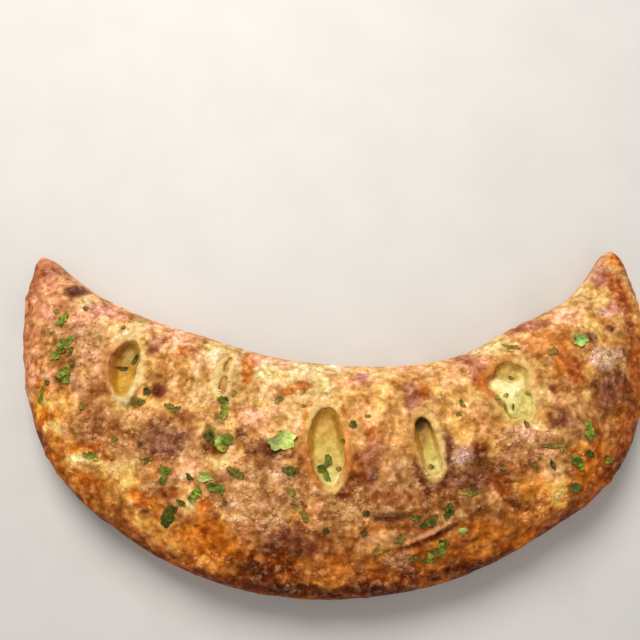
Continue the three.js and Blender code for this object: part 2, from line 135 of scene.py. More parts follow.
# Darker and paler places in the cheese: x, y, half length, half width, turn and tone. The four darkest are
# painted shade: under the far edges of the first and fifth vents, in the fourth vent's deep hole, and in a
# small hole in the fifth.
CHEESE_TONES_AND_SHADE = [
    [-106.5, 34, 2.2, 4.5, -10, (140, 78, 20)], [-103, 30, 2.4, 3.4, 0, (190, 156, 84)],
    [-103, 17.5, 4.2, 3.2, 0, (222, 166, 58)], [41.5, -3.5, 2.6, 3.6, 10, (84, 54, 16)],
    [79, 24, 4.5, 2.0, 25, (160, 106, 24)], [78.5, 6, 2.6, 3.8, 10, (140, 112, 30)],
    [92, 4, 2.0, 4.5, 0, (228, 208, 122)], [87, 13, 4.5, 3.6, 20, (252, 242, 182)],
    [80.5, 15, 3, 3.2, 0, (250, 238, 170)], [91, 11, 1.8, 3.5, 10, (232, 214, 126)],
    [86, 2, 3, 2.5, 0, (234, 214, 124)], [87, 8, 2.5, 3, 0, (250, 236, 160)],
    [-4.5, -4, 4.5, 4.5, 0, (214, 166, 78)],
]

# ---- Pleats on the slope of the sealed side: the part's two, shifted by up to 2 mm ----
PLEATS = [
    dict(start=(33, -60.5), end=(61, -47.5), sag=-1.2, radius=2.0),
    dict(start=(57, -60), end=(68, -53), sag=-1, radius=1.7),
]
# Puckered dough beside the narrow vent, and the fold that hangs over the far end of the ragged one.
PUCKERS = [
    dict(start=(-55.6, 36), end=(-59.2, 9), sag=0.3, radius=2.3),
    dict(start=(-47.9, 36), end=(-52.2, 9), sag=-0.3, radius=2.1),
    dict(start=(-57.5, 19.6), end=(-51, 20.4), sag=0.4, radius=1.2),
    dict(start=(-54.6, 37), end=(-54.0, 29), sag=0.5, radius=1.5),
    dict(start=(74, 22), end=(91, 30), sag=2.0, radius=2.6),
]
# Creases pressed into the crust: from, to, sag, width and depth.
CREASES = [
    ((-62.5, 34), (-61, 12), 1, 1.3, 0.8),
    ((-46.5, 34), (-48, 12), -1, 1.3, 0.8),
    ((34, -62.5), (58, -52.5), -1, 1.4, 2.0),
    ((18, -49.5), (35, -48), 1, 1.8, 1.8),
    ((86, -44), (74, -27), 2, 3.0, 1.0),
    ((58, -63), (70, -57), -1, 1.0, 0.9),
    ((-133, -8), (-108, -30), 3, 2.6, 0.8),
    ((-62, -66), (-42, -74), -3, 2.5, 0.8),
]
# Bubbles of the crust: at, radius and height.
BUBBLES = [
    ((-133, 65), 4.5, 1.0), ((-85, 12), 4.0, 1.6), ((128, 39), 5.5, 1.6), ((69, -16), 5.0, 1.2),
    ((-46, -8), 4.5, 0.8), ((25, -45), 4.5, 1.2), ((-32, -15), 4.5, 1.1), ((-140, -5), 8.0, 1.0),
    ((-89, -52), 11, 1.2), ((98, -36), 12, 1.6), ((-56, -71), 11, 1.0), ((37, 13), 5.0, 0.8),
    ((68, 28), 5.5, 1.0), ((109, -1), 6.0, 1.0), ((61, -20), 6.0, 1.1), ((-108, -40), 9, 0.8),
]

# ---- Tones of the baked crust, as display colours ----
TONES = {
    "cream": (250, 224, 150),
    "palegold": (243, 200, 124),
    "gold": (230, 171, 92),
    "peach": (236, 170, 118),
    "dust": (220, 186, 166),
    "tan": (210, 157, 103),
    "pink": (192, 124, 98),
    "orange": (214, 134, 56),
    "amber": (204, 128, 50),
    "burnt": (206, 114, 22),
    "honey": (226, 162, 78),
    "blush": (224, 154, 112),
    "russet": (188, 100, 44),
    "brown": (166, 102, 48),
    "purple": (112, 55, 38),
    "umber": (146, 68, 8),
    "rim": (184, 92, 12),
    "dark": (98, 40, 8),
    "clay": (200, 126, 88),
    "grain": (230, 182, 136),
    "strip": (222, 168, 128),
    "olive_shade": (128, 104, 34),
    "char_and_crease_shade": (96, 40, 30),
    "ash": (140, 92, 82),
    "ochre": (204, 152, 66),
}
# Tones from the folded inner edge over the crown to the sealed outer edge, by share of the section, -1 to 1.
BASE_TONES = [
    (-1.0, "peach"), (-0.75, "palegold"), (-0.3, "gold"), (0.2, "tan"), (0.6, "amber"), (0.8, "burnt"),
    (0.9, "rim"), (1.0, "umber"),
]
INNER_WALL_TONE = (238, 205, 125)  # crust inside the hollow for the filling
CRUST_CRUMB_TONE = (236, 186, 144)
# Pale tone mixed into the cheese's colour in small spots: painted highlight.
CHEESE_PAINTED_HIGHLIGHT_TONE = (250, 236, 180)
# Dark tone toward each leaf's rim: painted shade.
LEAF_EDGE_SHADE_TONE = (70, 72, 16)
FLOOR_TONES = ((222, 219, 214), (226, 223, 218))
# Powers of red, green and blue as the crust gets lighter or darker.
BAKE_POWERS = np.array([0.83, 1.12, 1.6])
FLATTEN = np.array([1, 1, 0.5])  # stretches a pattern down the sides
HUE_SWING = np.array([0.02, -0.05, 0.22])  # how far red, green and blue swing, as powers of e
# What the marks' tones are multiplied by, as linear light, at the inner and at the outer edge.
WARMTH = np.array([[0.95, 0.9, 0.97], [0.98, 0.87, 0.66]])

# ---- The photo's camera, in millimetres and degrees ----
CAMERA_AT = np.array([-6.9, -19.7, 450])
CAMERA_TILT = 9.29
CAMERA_LENS = 47.23
SENSOR_WIDTH = 36
PHOTO_SIZE = 640  # pixels
MARK_ROUNDS = 12  # how often a mark's height is looked up again

# ---- Stage, in metres and watts ----
CAMERA_CLIP = 0.01
KEY_LIGHT = dict(place=(-0.15, 0.55, 0.75), size=0.5, power=7.2, colour=(1.0, 0.98, 0.95))
FILL_LIGHT = dict(place=(0.5, -0.6, 0.7), size=0.8, power=1.2, colour=(1.0, 0.98, 0.96))
LIT_PLACE = (0, 0, 0.02)
SKY_TONE = (1.0, 0.985, 0.96, 1)
SKY_STRENGTH = 0.32
FLOOR_HALF = 2.5
FLOOR_DROP = 0.0003

# ---- Grated cheese, and the crust's own small blisters ----
PALE_CRUMBS = dict(
    count=2800, sizes=(1.1, 2.8), light=(0.95, 1.25), pale=(232, 182, 140), paleness=(0.0, 0.22))
TOASTED_CRUMBS = dict(
    count=800, sizes=(1.0, 2.4), light=(0.75, 1.15), pale=(206, 146, 92), paleness=(0.0, 0.5))
CRUMB_FLATNESS = 0.42
GRAIN_CORNERS = 12
SMALL_BLISTERS = dict(count=420, radius=(1.6, 3.8), height=(0.15, 0.75))

# ---- Fineness ----
ALONG_STEPS = 360
NOSE_STEPS = 14
TOP_STEPS = 150
UNDER_STEPS = 46
CAVITY_STEPS = (40, 26, 12)
POOL_RINGS, POOL_TURNS = 40, 120
CRUST_VOXEL = 0.85
LIP_STEPS = 72
LIP_SECTION_STEPS = 10
LEAF_TURNS, LEAF_RINGS = 20, 4


# ======================= Numbers =======================

class Noise:
    """Smooth gradient noise in three dimensions, about -1 to 1, the same at each run."""

    def __init__(self, seed):
        rng = np.random.default_rng(seed)
        self.order = np.tile(rng.permutation(256), 2)
        slopes = rng.normal(size=(256, 3))
        self.slopes = slopes / np.linalg.norm(slopes, axis=1)[:, None]

    def one(self, points):
        cell = np.floor(points).astype(int)
        inside = points - cell
        ease = inside ** 3 * (inside * (inside * 6 - 15) + 10)
        total = np.zeros(len(points))
        for corner in product((0, 1), repeat=3):
            i, j, k = ((cell + corner) & 255).T
            slope = self.slopes[self.order[self.order[self.order[i] + j] + k]]
            share = np.prod(np.where(corner, ease, 1 - ease), axis=1)
            total += share * np.einsum("ij,ij->i", slope, inside - corner)
        return total * 1.7

    def __call__(self, points, size, octaves=1):
        total = np.zeros(len(points))
        for k in range(octaves):
            total += 0.5 ** k * self.one(points * (2 ** k / size) + 31.7 * k)
        return total


def smooth(x, low, high):
    """0 below low, 1 above high, and a smooth rise between. low may be the larger."""
    share = np.clip((x - low) / (high - low), 0, 1)
    return share * share * (3 - 2 * share)


def to_linear(colour):
    """A display colour, 0 to 255, as linear light."""
    c = np.asarray(colour, float) / 255
    return np.where(c <= 0.04045, c / 12.92, ((c + 0.055) / 1.055) ** 2.4)


def bake(colour, light):
    """A linear colour made lighter or darker as baking does it: what gets darker gets redder too."""
    return colour * np.maximum(light, 0.02)[:, None] ** BAKE_POWERS


def blend(a, b, share):
    return a + (b - a) * share[..., None]


# ======================= The crescent's form =======================

def station_value(column, t):
    """One column of STATIONS at station t, by a Catmull-Rom curve through the rows."""
    values = STATIONS[:, column]
    values = np.concatenate([[2 * values[0] - values[1]], values, [2 * values[-1] - values[-2]]])
    last = len(STATIONS) - 1
    place = (np.asarray(t) + 1) / 2 * last
    i = np.clip(np.floor(place).astype(int), 0, last - 1)
    f = place - i
    a, b, c, d = (values[i + k] for k in range(4))
    return b + 0.5 * ((c - a) * f + (2 * a - 5 * b + 4 * c - d) * f ** 2 + (3 * b - 3 * c + d - a) * f ** 3)


def nose_share(t, reach=1):
    past = np.clip((np.abs(t) / reach - NOSE_START) / (1 - NOSE_START), 0, 1)
    return (1 - past ** NOSE_POWER) ** (1 / NOSE_POWER)


def draws(seed):
    """The part's own random numbers, from 0 to 1."""
    state = seed
    while True:
        state = state * 16807 % 2147483647
        yield state / 2147483647


def make_blisters():
    numbers = draws(SEED)

    def between(low, high):
        return low + (high - low) * next(numbers)

    rows = []
    for _ in range(BLISTER_COUNT):
        t = between(-0.92, 0.92)
        across = between(-0.8, 0.8)
        inner, outer = station_value(0, t), station_value(1, t)
        distance = (inner + outer) / 2 + across * (outer - inner) / 2
        x = distance * math.sin(t * FAN_HALF_ANGLE)
        y = FAN_CENTRE_Y - distance * math.cos(t * FAN_HALF_ANGLE)
        rows.append((x, y, between(*BLISTER_RADIUS), between(*BLISTER_HEIGHT)))
    return rows


BLISTERS = make_blisters()


def vent_swell(vent, turn):
    """How much wider than a plain oval a vent is at these turns."""
    start = vent["at"][0]
    torn = vent["torn"] * (np.cos(5 * turn + 1.3 * start) + 0.6 * np.cos(8 * turn + 0.7 * start))
    power = vent["power"]
    blunt = (np.abs(np.cos(turn)) ** power + np.abs(np.sin(turn)) ** power) ** (-1 / power)
    return blunt * (1 + vent["ragged"] * np.cos(VENT_LOBES * turn + start) + torn)


def vent_place(vent, x, y):
    """Place of points in a vent's oval: across and along it in millimetres, and distance beyond its edge."""
    lean = math.radians(vent["lean"])
    dx, dy = x - vent["at"][0], y - vent["at"][1]
    across = dx * math.cos(lean) + dy * math.sin(lean)
    along = dy * math.cos(lean) - dx * math.sin(lean)
    half_width, half_length = vent["width"] / 2, vent["length"] / 2
    turn = np.arctan2(along / half_length, across / half_width)
    swell = vent_swell(vent, turn)
    reach = np.hypot(across / half_width, along / half_length) / swell
    edge = swell * np.hypot(half_width * np.cos(turn), half_length * np.sin(turn))
    return across, along, (reach - 1) * edge


def in_vent(vent, across, along):
    """The point in plan at so many millimetres across and along a vent."""
    lean = math.radians(vent["lean"])
    x = vent["at"][0] + across * np.cos(lean) - along * np.sin(lean)
    y = vent["at"][1] + across * np.sin(lean) + along * np.cos(lean)
    return x, y


def round_vent(vent, turn, push=0.0):
    """Points in plan on a vent's edge at these turns, pushed outward."""
    swell = vent_swell(vent, turn)
    across = np.cos(turn) * (vent["width"] / 2 * swell + push)
    along = np.sin(turn) * (vent["length"] / 2 * swell + push)
    return in_vent(vent, across, along)


def relief(x, y):
    """Height that blisters, and the dimples round the vents, add to the crust."""
    height = np.full(np.shape(x), DIMPLE_DEPTH / 2)
    for bx, by, radius, rise in BLISTERS:
        height += rise * np.exp(-((x - bx) ** 2 + (y - by) ** 2) / radius ** 2)
    for vent in VENTS:
        across, along, _ = vent_place(vent, x, y)
        reach2 = (across / (vent["width"] / 2 + DIMPLE_MARGIN)) ** 2
        reach2 += (along / (vent["length"] / 2 + DIMPLE_MARGIN)) ** 2
        height -= DIMPLE_DEPTH * np.exp(-reach2)
    return height


def crescent_point(t, phi, inset=0, floor=0, reach=1, rough=False):
    """Points of the crescent at station t and section angle phi: 0 at the outer edge, pi/2 at the crown, pi
    at the inner edge, and more along the underside."""
    nose = nose_share(t, reach)
    inner = station_value(0, t) + inset
    outer = station_value(1, t) - inset
    crown = station_value(2, t) - inset
    waist = np.maximum(WAIST_SHARE * station_value(2, t), floor + 1)
    top = np.sin(phi) >= 0
    across_power = np.where(top, TOP_POWERS[0], UNDERSIDE_POWERS[0])
    up_power = np.where(top, TOP_POWERS[1], UNDERSIDE_POWERS[1])
    across = np.sign(np.cos(phi)) * np.abs(np.cos(phi)) ** (2 / across_power)
    up = np.abs(np.sin(phi)) ** (2 / up_power)
    rolled = np.exp(-((np.arcsin(np.sin(phi)) - SEAM_ANGLE) / SEAM_WIDTH) ** 2)
    seam = np.where(rough & (np.cos(phi) > 0), SEAM_DEPTH * rolled, 0)
    half_width = np.maximum(outer - inner, 0) / 2 * nose
    distance = (inner + outer) / 2 + across * half_width - seam * nose
    angle = t * FAN_HALF_ANGLE
    x = distance * np.sin(angle)
    y = FAN_CENTRE_Y - distance * np.cos(angle)
    under = waist + (floor - waist) * np.minimum(1, FLAT_SHARE * up * nose)
    dome = (crown - waist) * up * (1 - LEAN_IN * across * up) * nose
    bumps = relief(x, y) * up * nose if rough else 0
    return np.stack([x, y, np.where(top, waist + dome + bumps, under)], axis=-1)


def plan_place(x, y):
    """Station t of points in plan, and share across the section: -1 at the inner edge, 1 at the outer one."""
    t = np.arctan2(x, FAN_CENTRE_Y - y) / FAN_HALF_ANGLE
    distance = np.hypot(x, FAN_CENTRE_Y - y)
    safe = np.clip(t, -0.999, 0.999)
    inner, outer = station_value(0, safe), station_value(1, safe)
    half_width = (outer - inner) / 2 * nose_share(safe)
    return t, (distance - (inner + outer) / 2) / np.maximum(half_width, 0.5)


def top_height(x, y, inset=0, rough=True):
    """Height of the crescent's top at points in plan, without the vents."""
    t, across = plan_place(x, y)
    safe = np.clip(t, -0.999, 0.999)
    across = np.clip(across, -1, 1)
    up = (1 - np.abs(across) ** TOP_POWERS[0]) ** (1 / TOP_POWERS[1])
    nose = nose_share(safe)
    crown = station_value(2, safe)
    waist = WAIST_SHARE * crown
    bumps = relief(x, y) * up * nose if rough else 0
    return waist + (crown - inset - waist) * up * (1 - LEAN_IN * across * up) * nose + bumps


# ======================= Marks =======================

def on_crust(u, v, below=0):
    """Place on the crust of a pixel of the photo, or so far below it in a vent, and how many millimetres the
    pixel spans there."""
    tilt = math.radians(CAMERA_TILT)
    focus = CAMERA_LENS / SENSOR_WIDTH * PHOTO_SIZE
    right, up = (u - PHOTO_SIZE / 2) / focus, (PHOTO_SIZE / 2 - v) / focus
    way = np.array([right, math.sin(tilt) + up * math.cos(tilt), up * math.sin(tilt) - math.cos(tilt)])
    height = 0
    for _ in range(MARK_ROUNDS):
        x, y = (CAMERA_AT + way * (height - CAMERA_AT[2]) / way[2])[:2]
        height = top_height(x, y) - below
    return x, y, (CAMERA_AT[2] - height) / focus


def spot(u, v, below=0):
    """A place given at a pixel of the photo, to a whole millimetre."""
    x, y = on_crust(u, v, below)[:2]
    return round(x), round(y)


def seen(u, v, length, width, *rest):
    """A row in millimetres from one whose place and sizes were given in pixels of the photo."""
    x, y, pixel = on_crust(u, v)
    return [round(x), round(y), round(2 * length * pixel) / 2, round(2 * width * pixel) / 2, *rest]


# A row of these tables is in millimetres, or is a mark in pixels of the photo that seen() or spot() turns.
# Oval patches toasted to each tone, later ones on top: x, y, half length, half width and turn in degrees.
PATCHES = [
    ("blush", [
        [-117, 24, 4.5, 9, 0], [-153, 28, 7, 18, 0], [*spot(45, 300), 12, 23, 0], [-126, 42, 9, 12, 0],
        [-108, 51, 9, 4, -25],
    ]),
    ("peach", [
        seen(180, 335, 28, 9, -18), seen(185, 468, 24, 10, 0), seen(570, 318, 20, 10, 20),
        seen(48, 372, 14, 14, 0), seen(256, 418, 20, 10, 0), seen(350, 382, 20, 7, 0),
    ]),
    ("tan", [
        seen(85, 345, 20, 28, 0), seen(55, 328, 16, 14, 0), seen(150, 487, 14, 8, 0),
        seen(265, 480, 38, 22, 0), seen(250, 510, 40, 18, 0), seen(350, 510, 30, 14, 0),
        seen(520, 435, 32, 14, 0), seen(540, 466, 18, 12, 0), seen(400, 468, 20, 14, 0),
    ]),
    ("gold", [
        seen(62, 402, 18, 12, 0), seen(125, 478, 24, 9, 0), seen(110, 497, 14, 10, 0),
        seen(170, 365, 25, 14, 0), seen(375, 395, 36, 14, 0), seen(385, 430, 30, 22, 0),
        seen(455, 385, 28, 22, 0), seen(450, 415, 26, 14, 0), seen(599, 320, 14, 12, 0), [-76, 10, 6, 6, 0],
        [-103, -44, 12, 7, -30], [38, 15, 14, 10, 0], [92, -33, 11, 8, -20], [-112, -30, 14, 7, -35],
        [-84, -58, 16, 6, -25], [124, -20, 10, 9, -30],
    ]),
    ("palegold", [
        seen(120, 469, 20, 8, 0), [-122, -22, 13, 4.5, -10], [-64, 12, 7, 8, 0], seen(235, 400, 14, 8, 0),
        [-138, -6, 6, 4.5, 0], seen(290, 415, 20, 14, 0), seen(215, 462, 14, 9, 0),
        seen(436, 425, 6, 30, 15), seen(434, 472, 7, 10, 0), seen(582, 290, 24, 14.5, 35),
        seen(545, 395, 10, 14, 0), seen(441, 355, 52, 9, 4), seen(370, 373, 40, 7, 0),
    ]),
    ("honey", [seen(150, 526, 20, 9, -25), [*spot(552, 492), 12, 7, -30]]),
    ("cream", [
        seen(90, 303, 20, 6, -25), [*spot(143, 323), 6, 3, -30], [-102, 5, 5, 3.2, 0],
        [*spot(127, 334), 9, 2.5, 35], seen(222, 352, 26, 11, 0), seen(236, 374, 8, 14, 0),
        seen(268, 372, 14, 14, 0), seen(315, 368, 34, 8, -2), seen(310, 386, 24, 12, 0),
        seen(500, 346, 24, 7, 12), [-58, 22, 13, 2.2, 93], [-51, 22, 13, 2, 87],
    ]),
    ("orange", [
        seen(59, 443, 18, 9, -35), seen(112, 512, 26, 11, -35), seen(77, 482, 10, 24, 35),
        seen(186, 351, 12, 6, 0), seen(172, 541, 26, 10, -25), seen(218, 565, 26, 8, -10),
        [-43, 25, 4, 8, 0], seen(343, 413, 7, 4, 0), seen(344, 430, 5, 6, 0), [*spot(308, 430), 2.5, 12, 5],
        seen(480, 382, 7, 14, 0), seen(550, 340, 34, 18, 0), seen(535, 515, 28, 10, 0),
        seen(540, 490, 24, 16, 0), seen(470, 545, 28, 12, 0), seen(330, 578, 30, 8, 0),
        seen(370, 560, 34, 12, 0),
    ]),
    ("burnt", [
        seen(92, 481, 18, 7, -20), seen(85, 447, 18, 6, 0), [-43, 18, 2.5, 2.5, 0], seen(287, 391, 9, 5, 20),
        seen(303, 385, 9, 6, 0), seen(203, 505, 10, 9, 0), seen(208, 535, 20, 20, 0),
        seen(424, 390, 6, 10, 0), seen(373, 435, 8, 8, 0), seen(507, 358, 10, 4, 0), [151, 84, 6, 5, 0],
        seen(567, 362, 16, 16, 0), [*spot(618, 288), 4, 11, 15], seen(590, 465, 22, 26, -30),
    ]),
    ("pink", [
        seen(48, 272, 14, 10, 0), seen(155, 345, 9, 12, 0), seen(362, 376, 7, 6, 0), [38, 10, 4.5, 8, 0],
        seen(600, 275, 10, 13, 0), seen(469, 360, 10, 9, 0), seen(97, 309, 14, 7, 0),
        seen(530, 325, 18, 7, 0), seen(614, 309, 14, 8, 0),
    ]),
    ("brown", [
        [-111.5, 22, 2, 9, 0], [-117, 12, 5, 5, 0], [-154, -2, 3.5, 11, 5], seen(90, 412, 14, 14, 0),
        [-107, -7, 7, 6, 0], seen(185, 415, 10, 7, 0), seen(252, 450, 8, 8, 0), seen(272, 492, 8, 6, 0),
        # seen(290, 456) is painted shadow under the large pale leaf.
        seen(290, 456, 10, 4, 0), seen(145, 512, 10, 7, 0), [*spot(302, 475), 3.5, 13.5, 5],
        seen(385, 500, 26, 12, 0), seen(350, 543, 26, 10, 0), seen(575, 385, 22, 10, 0), [133, 5, 6, 7, 0],
        [46, -40, 9, 6, 0], [36, -52, 13, 7, 10], [-58, -13, 6, 6, 0], seen(501, 468, 40, 12, 0),
        seen(445, 495, 22, 12, 0), seen(250, 532, 24, 9, 0), seen(320, 545, 26, 16, 0),
    ]),
    ("purple", [
        seen(165, 440, 26, 16, 0), [*spot(241, 432), 2.8, 2.8, 0], seen(268, 447, 8, 8, 0),
        seen(285, 545, 34, 20, 0), seen(448, 450, 6, 22, 0), seen(470, 480, 32, 12, 0), [109, -2, 6, 6, 30],
        [43, -27, 4.5, 10, 20], [128.5, 39.5, 3, 3.4, 0], seen(615, 390, 24, 22, 0),
        seen(345, 478, 5, 20, 0), [17, -28, 4, 5, 0], [-30, -17, 4.5, 4, 30],
    ]),
    ("dust", [[*spot(463, 457), 5, 5, 0], [*spot(608, 355), 9, 5.5, 10], [137, 53, 4.2, 1.6, -25]]),
    ("umber", [
        seen(168, 493, 12, 6, 0), [*spot(355, 468), 6, 11.5, 5], seen(345, 495, 8, 8, 0),
        [81, -36, 10, 4, -55], seen(285, 565, 18, 14, 0), seen(240, 560, 14, 8, 0),
        seen(620, 460, 16, 26, -25), seen(160, 391, 9, 9, 0), seen(480, 450, 10, 10, 0),
        seen(555, 389, 5, 6, 0),
    ]),
    ("clay", [
        [-155, 80, 8, 12, 0], [-157, 48, 3.5, 22, 0], [71, 22, 5, 8, 0], [19, -16, 6, 8, 0],
        [*spot(393, 563), 6, 4, 20],
    ]),
    ("russet", [
        [151, 30, 4, 20, 0], [148, 62, 4, 16, 15], [118, 24, 5, 8, 0], [145, -6, 5, 15, -20],
        [128, -38, 11, 5, 45], [106, -51, 10, 4, 35], [-88, -60, 16, 3, -35],
    ]),
    ("tan", [[24, -59, 13, 5, 8], [62, -45, 11, 4, 15], [108, -25, 8, 6, 0]]),
    ("dark", [
        # The seen() marks along the lower rim are partly painted shade where it turns down, partly browning.
        seen(252, 573, 18, 11, 0), [112, -54, 15, 3.5, 35], seen(470, 570, 50, 9, 10),
        seen(380, 590, 50, 7, 0), seen(480, 451, 7, 7, 0), seen(300, 590, 40, 8, 0), [149, -17, 3, 15, -30],
        [139, 44, 2.5, 2, 0],
    ]),
    ("olive_shade", [
        # Dark olive, painted shade: under the parsley below the narrow vent, between leaves, and in a small
        # hole beside the fifth vent.
        [-55.5, -2, 3.6, 3.4, 0], [-59, -9, 4, 6, 30], [-51, -10, 3, 2.5, 0], [-130, 27, 2, 4, 0],
        [-97, 7, 4, 3, 0], [76, 6, 2.2, 3.4, 0],
    ]),
    ("ochre", [
        [-64.5, 21.6, 2.4, 2, 0], [-65, 29, 1.8, 1.8, 0], [-31, 14, 2, 2, 0], [-70, 18, 2, 1.6, 0],
        [28, 18, 2.2, 1.8, 0], [-12, 6, 2, 1.8, 0], [-37, 6, 2, 2, 0], [64, 22, 2, 2, 0],
        [-84, 30, 2.2, 1.8, 0], [10, 9, 2, 2, 0],
    ]),
    ("strip", [
        [32, -68.5, 5, 4, 30], [40, -57.6, 5, 1.6, 24], [47, -54.6, 6, 1.8, 24], [55, -51, 6, 1.6, 26],
        [25, -45, 6, 2.4, 0],
    ]),
    # Along the first pleat's crease: painted shadow under the pleat.
    ("umber", [[41, -59.6, 7, 2, 22], [49, -56.6, 7, 1.8, 24]]),
    # Charred spots; the first mark is a dark line in a crease, painted shade.
    ("char_and_crease_shade", [[26, -48.5, 8, 1.5, 3], [*spot(75, 292), 5.2, 4.2, 10], [*spot(160, 391), 3.2, 3.2, 0]]),
    ("ash", [[-134, 65, 1.8, 1.4, 0]]),
]
ROUND_TONES = ("char_and_crease_shade", "ash")  # tones of spots with an even edge
ROUND_EDGE = 0.3  # how ragged that edge is, against the others'
# Parts made lighter or darker; the one at (-57, 34) is painted shade on a top that faces the key light: x, y,
# half length, half width, turn, and light.
SHADES = [
    [-151, 5, 8, 11, 0, 1.25], [-103, -36, 12, 9, -30, 1.3], [-69, -37, 11, 9, 0, 1.5],
    [-82, -56, 17, 8, -25, 2], [-38, -53, 14, 8, 0, 1.75], [-17, -58, 8, 6, 0, 1.4], [18, 2, 7, 8, 0, 1.2],
    [90, -2, 9, 7, 0, 1.4], [103, -35, 11, 9, -30, 1.65], [-51, -19, 10, 7, 0, 1.35],
    [-8, -2, 14, 7, 0, 1.2], [-140, 4, 10, 12, 0, 1.35], [112, 66, 8, 5, 30, 1.3],
    [-94, 16, 22, 13, 0, 0.86], [-62, 18, 18, 13, 0, 0.86], [2, -41, 10, 12, 0, 0.72],
    [40, -40, 20, 9, 0, 0.9], [72, -20, 20, 9, 0, 0.87], [36, -64, 27, 12, 10, 0.88],
    [-132, 60, 16, 12, 0, 0.9], [134, 34, 12, 10, 0, 0.9], [-57, 34, 9, 5, 0, 0.75],
    [16, -28, 7, 6, 0, 0.75], [-154, 0, 4, 10, 0, 0.85], [-156, 30, 6, 24, 0, 1.4], [-137, 28, 5, 7, 0, 0.8],
    [150, 20, 7, 26, 0, 0.8], [20, -78, 40, 6, 0, 0.85], [-40, -84, 16, 5, -10, 0.8],
    [-96, 36, 15, 7, -15, 0.82], [71, 17, 6, 9, 0, 0.8], [38, 4, 6, 8, 0, 0.8], [51, 21, 9, 7, 0, 1.5],
    [18, -19, 6, 9, 0, 0.72], [68, -19, 8, 8, 0, 0.82], [38, -37, 10, 7, 0, 0.7],
    [65, -40, 12, 8, -15, 0.74], [66, -53, 10, 6, 20, 0.8], [53, -70, 13, 6, 15, 0.76],
    [18, -70, 13, 7, 0, 0.8], [-150, 75, 9, 11, 0, 0.8], [14, -86, 36, 4, 0, 0.66], [-90, 27, 9, 9, 0, 0.72],
    [-43, 17, 6, 7, 0, 0.82], [74, 2, 6, 9, 0, 0.76], [126, -5, 13, 5, 0, 0.84], [115, 24, 12, 5, 0, 0.82],
    [-110, 26, 9, 9, 0, 0.86], [-76, 30, 12, 8, -15, 0.84], [-16, 14, 10, 8, 0, 0.9],
    [-128, 16, 9, 9, 0, 0.86], [84, -37, 5, 8, 35, 0.8], [70, -50, 16, 10, 20, 0.86],
    [-67, -6, 7, 6, 0, 0.72], [-125, -15, 9, 8, -30, 1.25], [84, -60, 9, 5, 30, 0.74],
    [15, 3, 10, 6, 0, 1.22], [-34, -23, 11, 6, 0, 0.68], [-100, -46, 8, 6, -30, 0.74],
    [88, -25, 7, 6, 0, 0.74], [-78, -10, 8, 6, 0, 1.5], [118, -25, 11, 6, -30, 0.8],
    [-89, -24, 6, 5, 0, 1.25], [-76, -24, 6, 4, 0, 0.8], [-110, -11, 6, 6, 0, 0.84],
]
# Where crumbs of grated cheese lie thickest: x, y, half length, half width, and share.
POWDER = [
    [*spot(85, 345), 11, 16.5, 0.9], [*spot(463, 457), 5.5, 6, 1.6], [*spot(608, 355), 11, 7, 1.5],
    [140, 51, 6, 4, 0.6], seen(230, 430, 70, 40, 0.45), seen(265, 500, 60, 36, 0.7),
    seen(300, 575, 50, 20, 0.45), seen(350, 510, 40, 24, 0.6), seen(430, 490, 50, 26, 0.5),
    seen(520, 445, 40, 24, 0.7), seen(540, 505, 30, 20, 0.6), seen(400, 560, 16, 12, 1.3),
    seen(150, 440, 50, 30, 0.6), seen(95, 440, 34, 30, 0.5), seen(200, 561, 40, 14, 0.25),
    seen(210, 395, 26, 20, 0.5), seen(390, 580, 60, 14, 0.4),
]

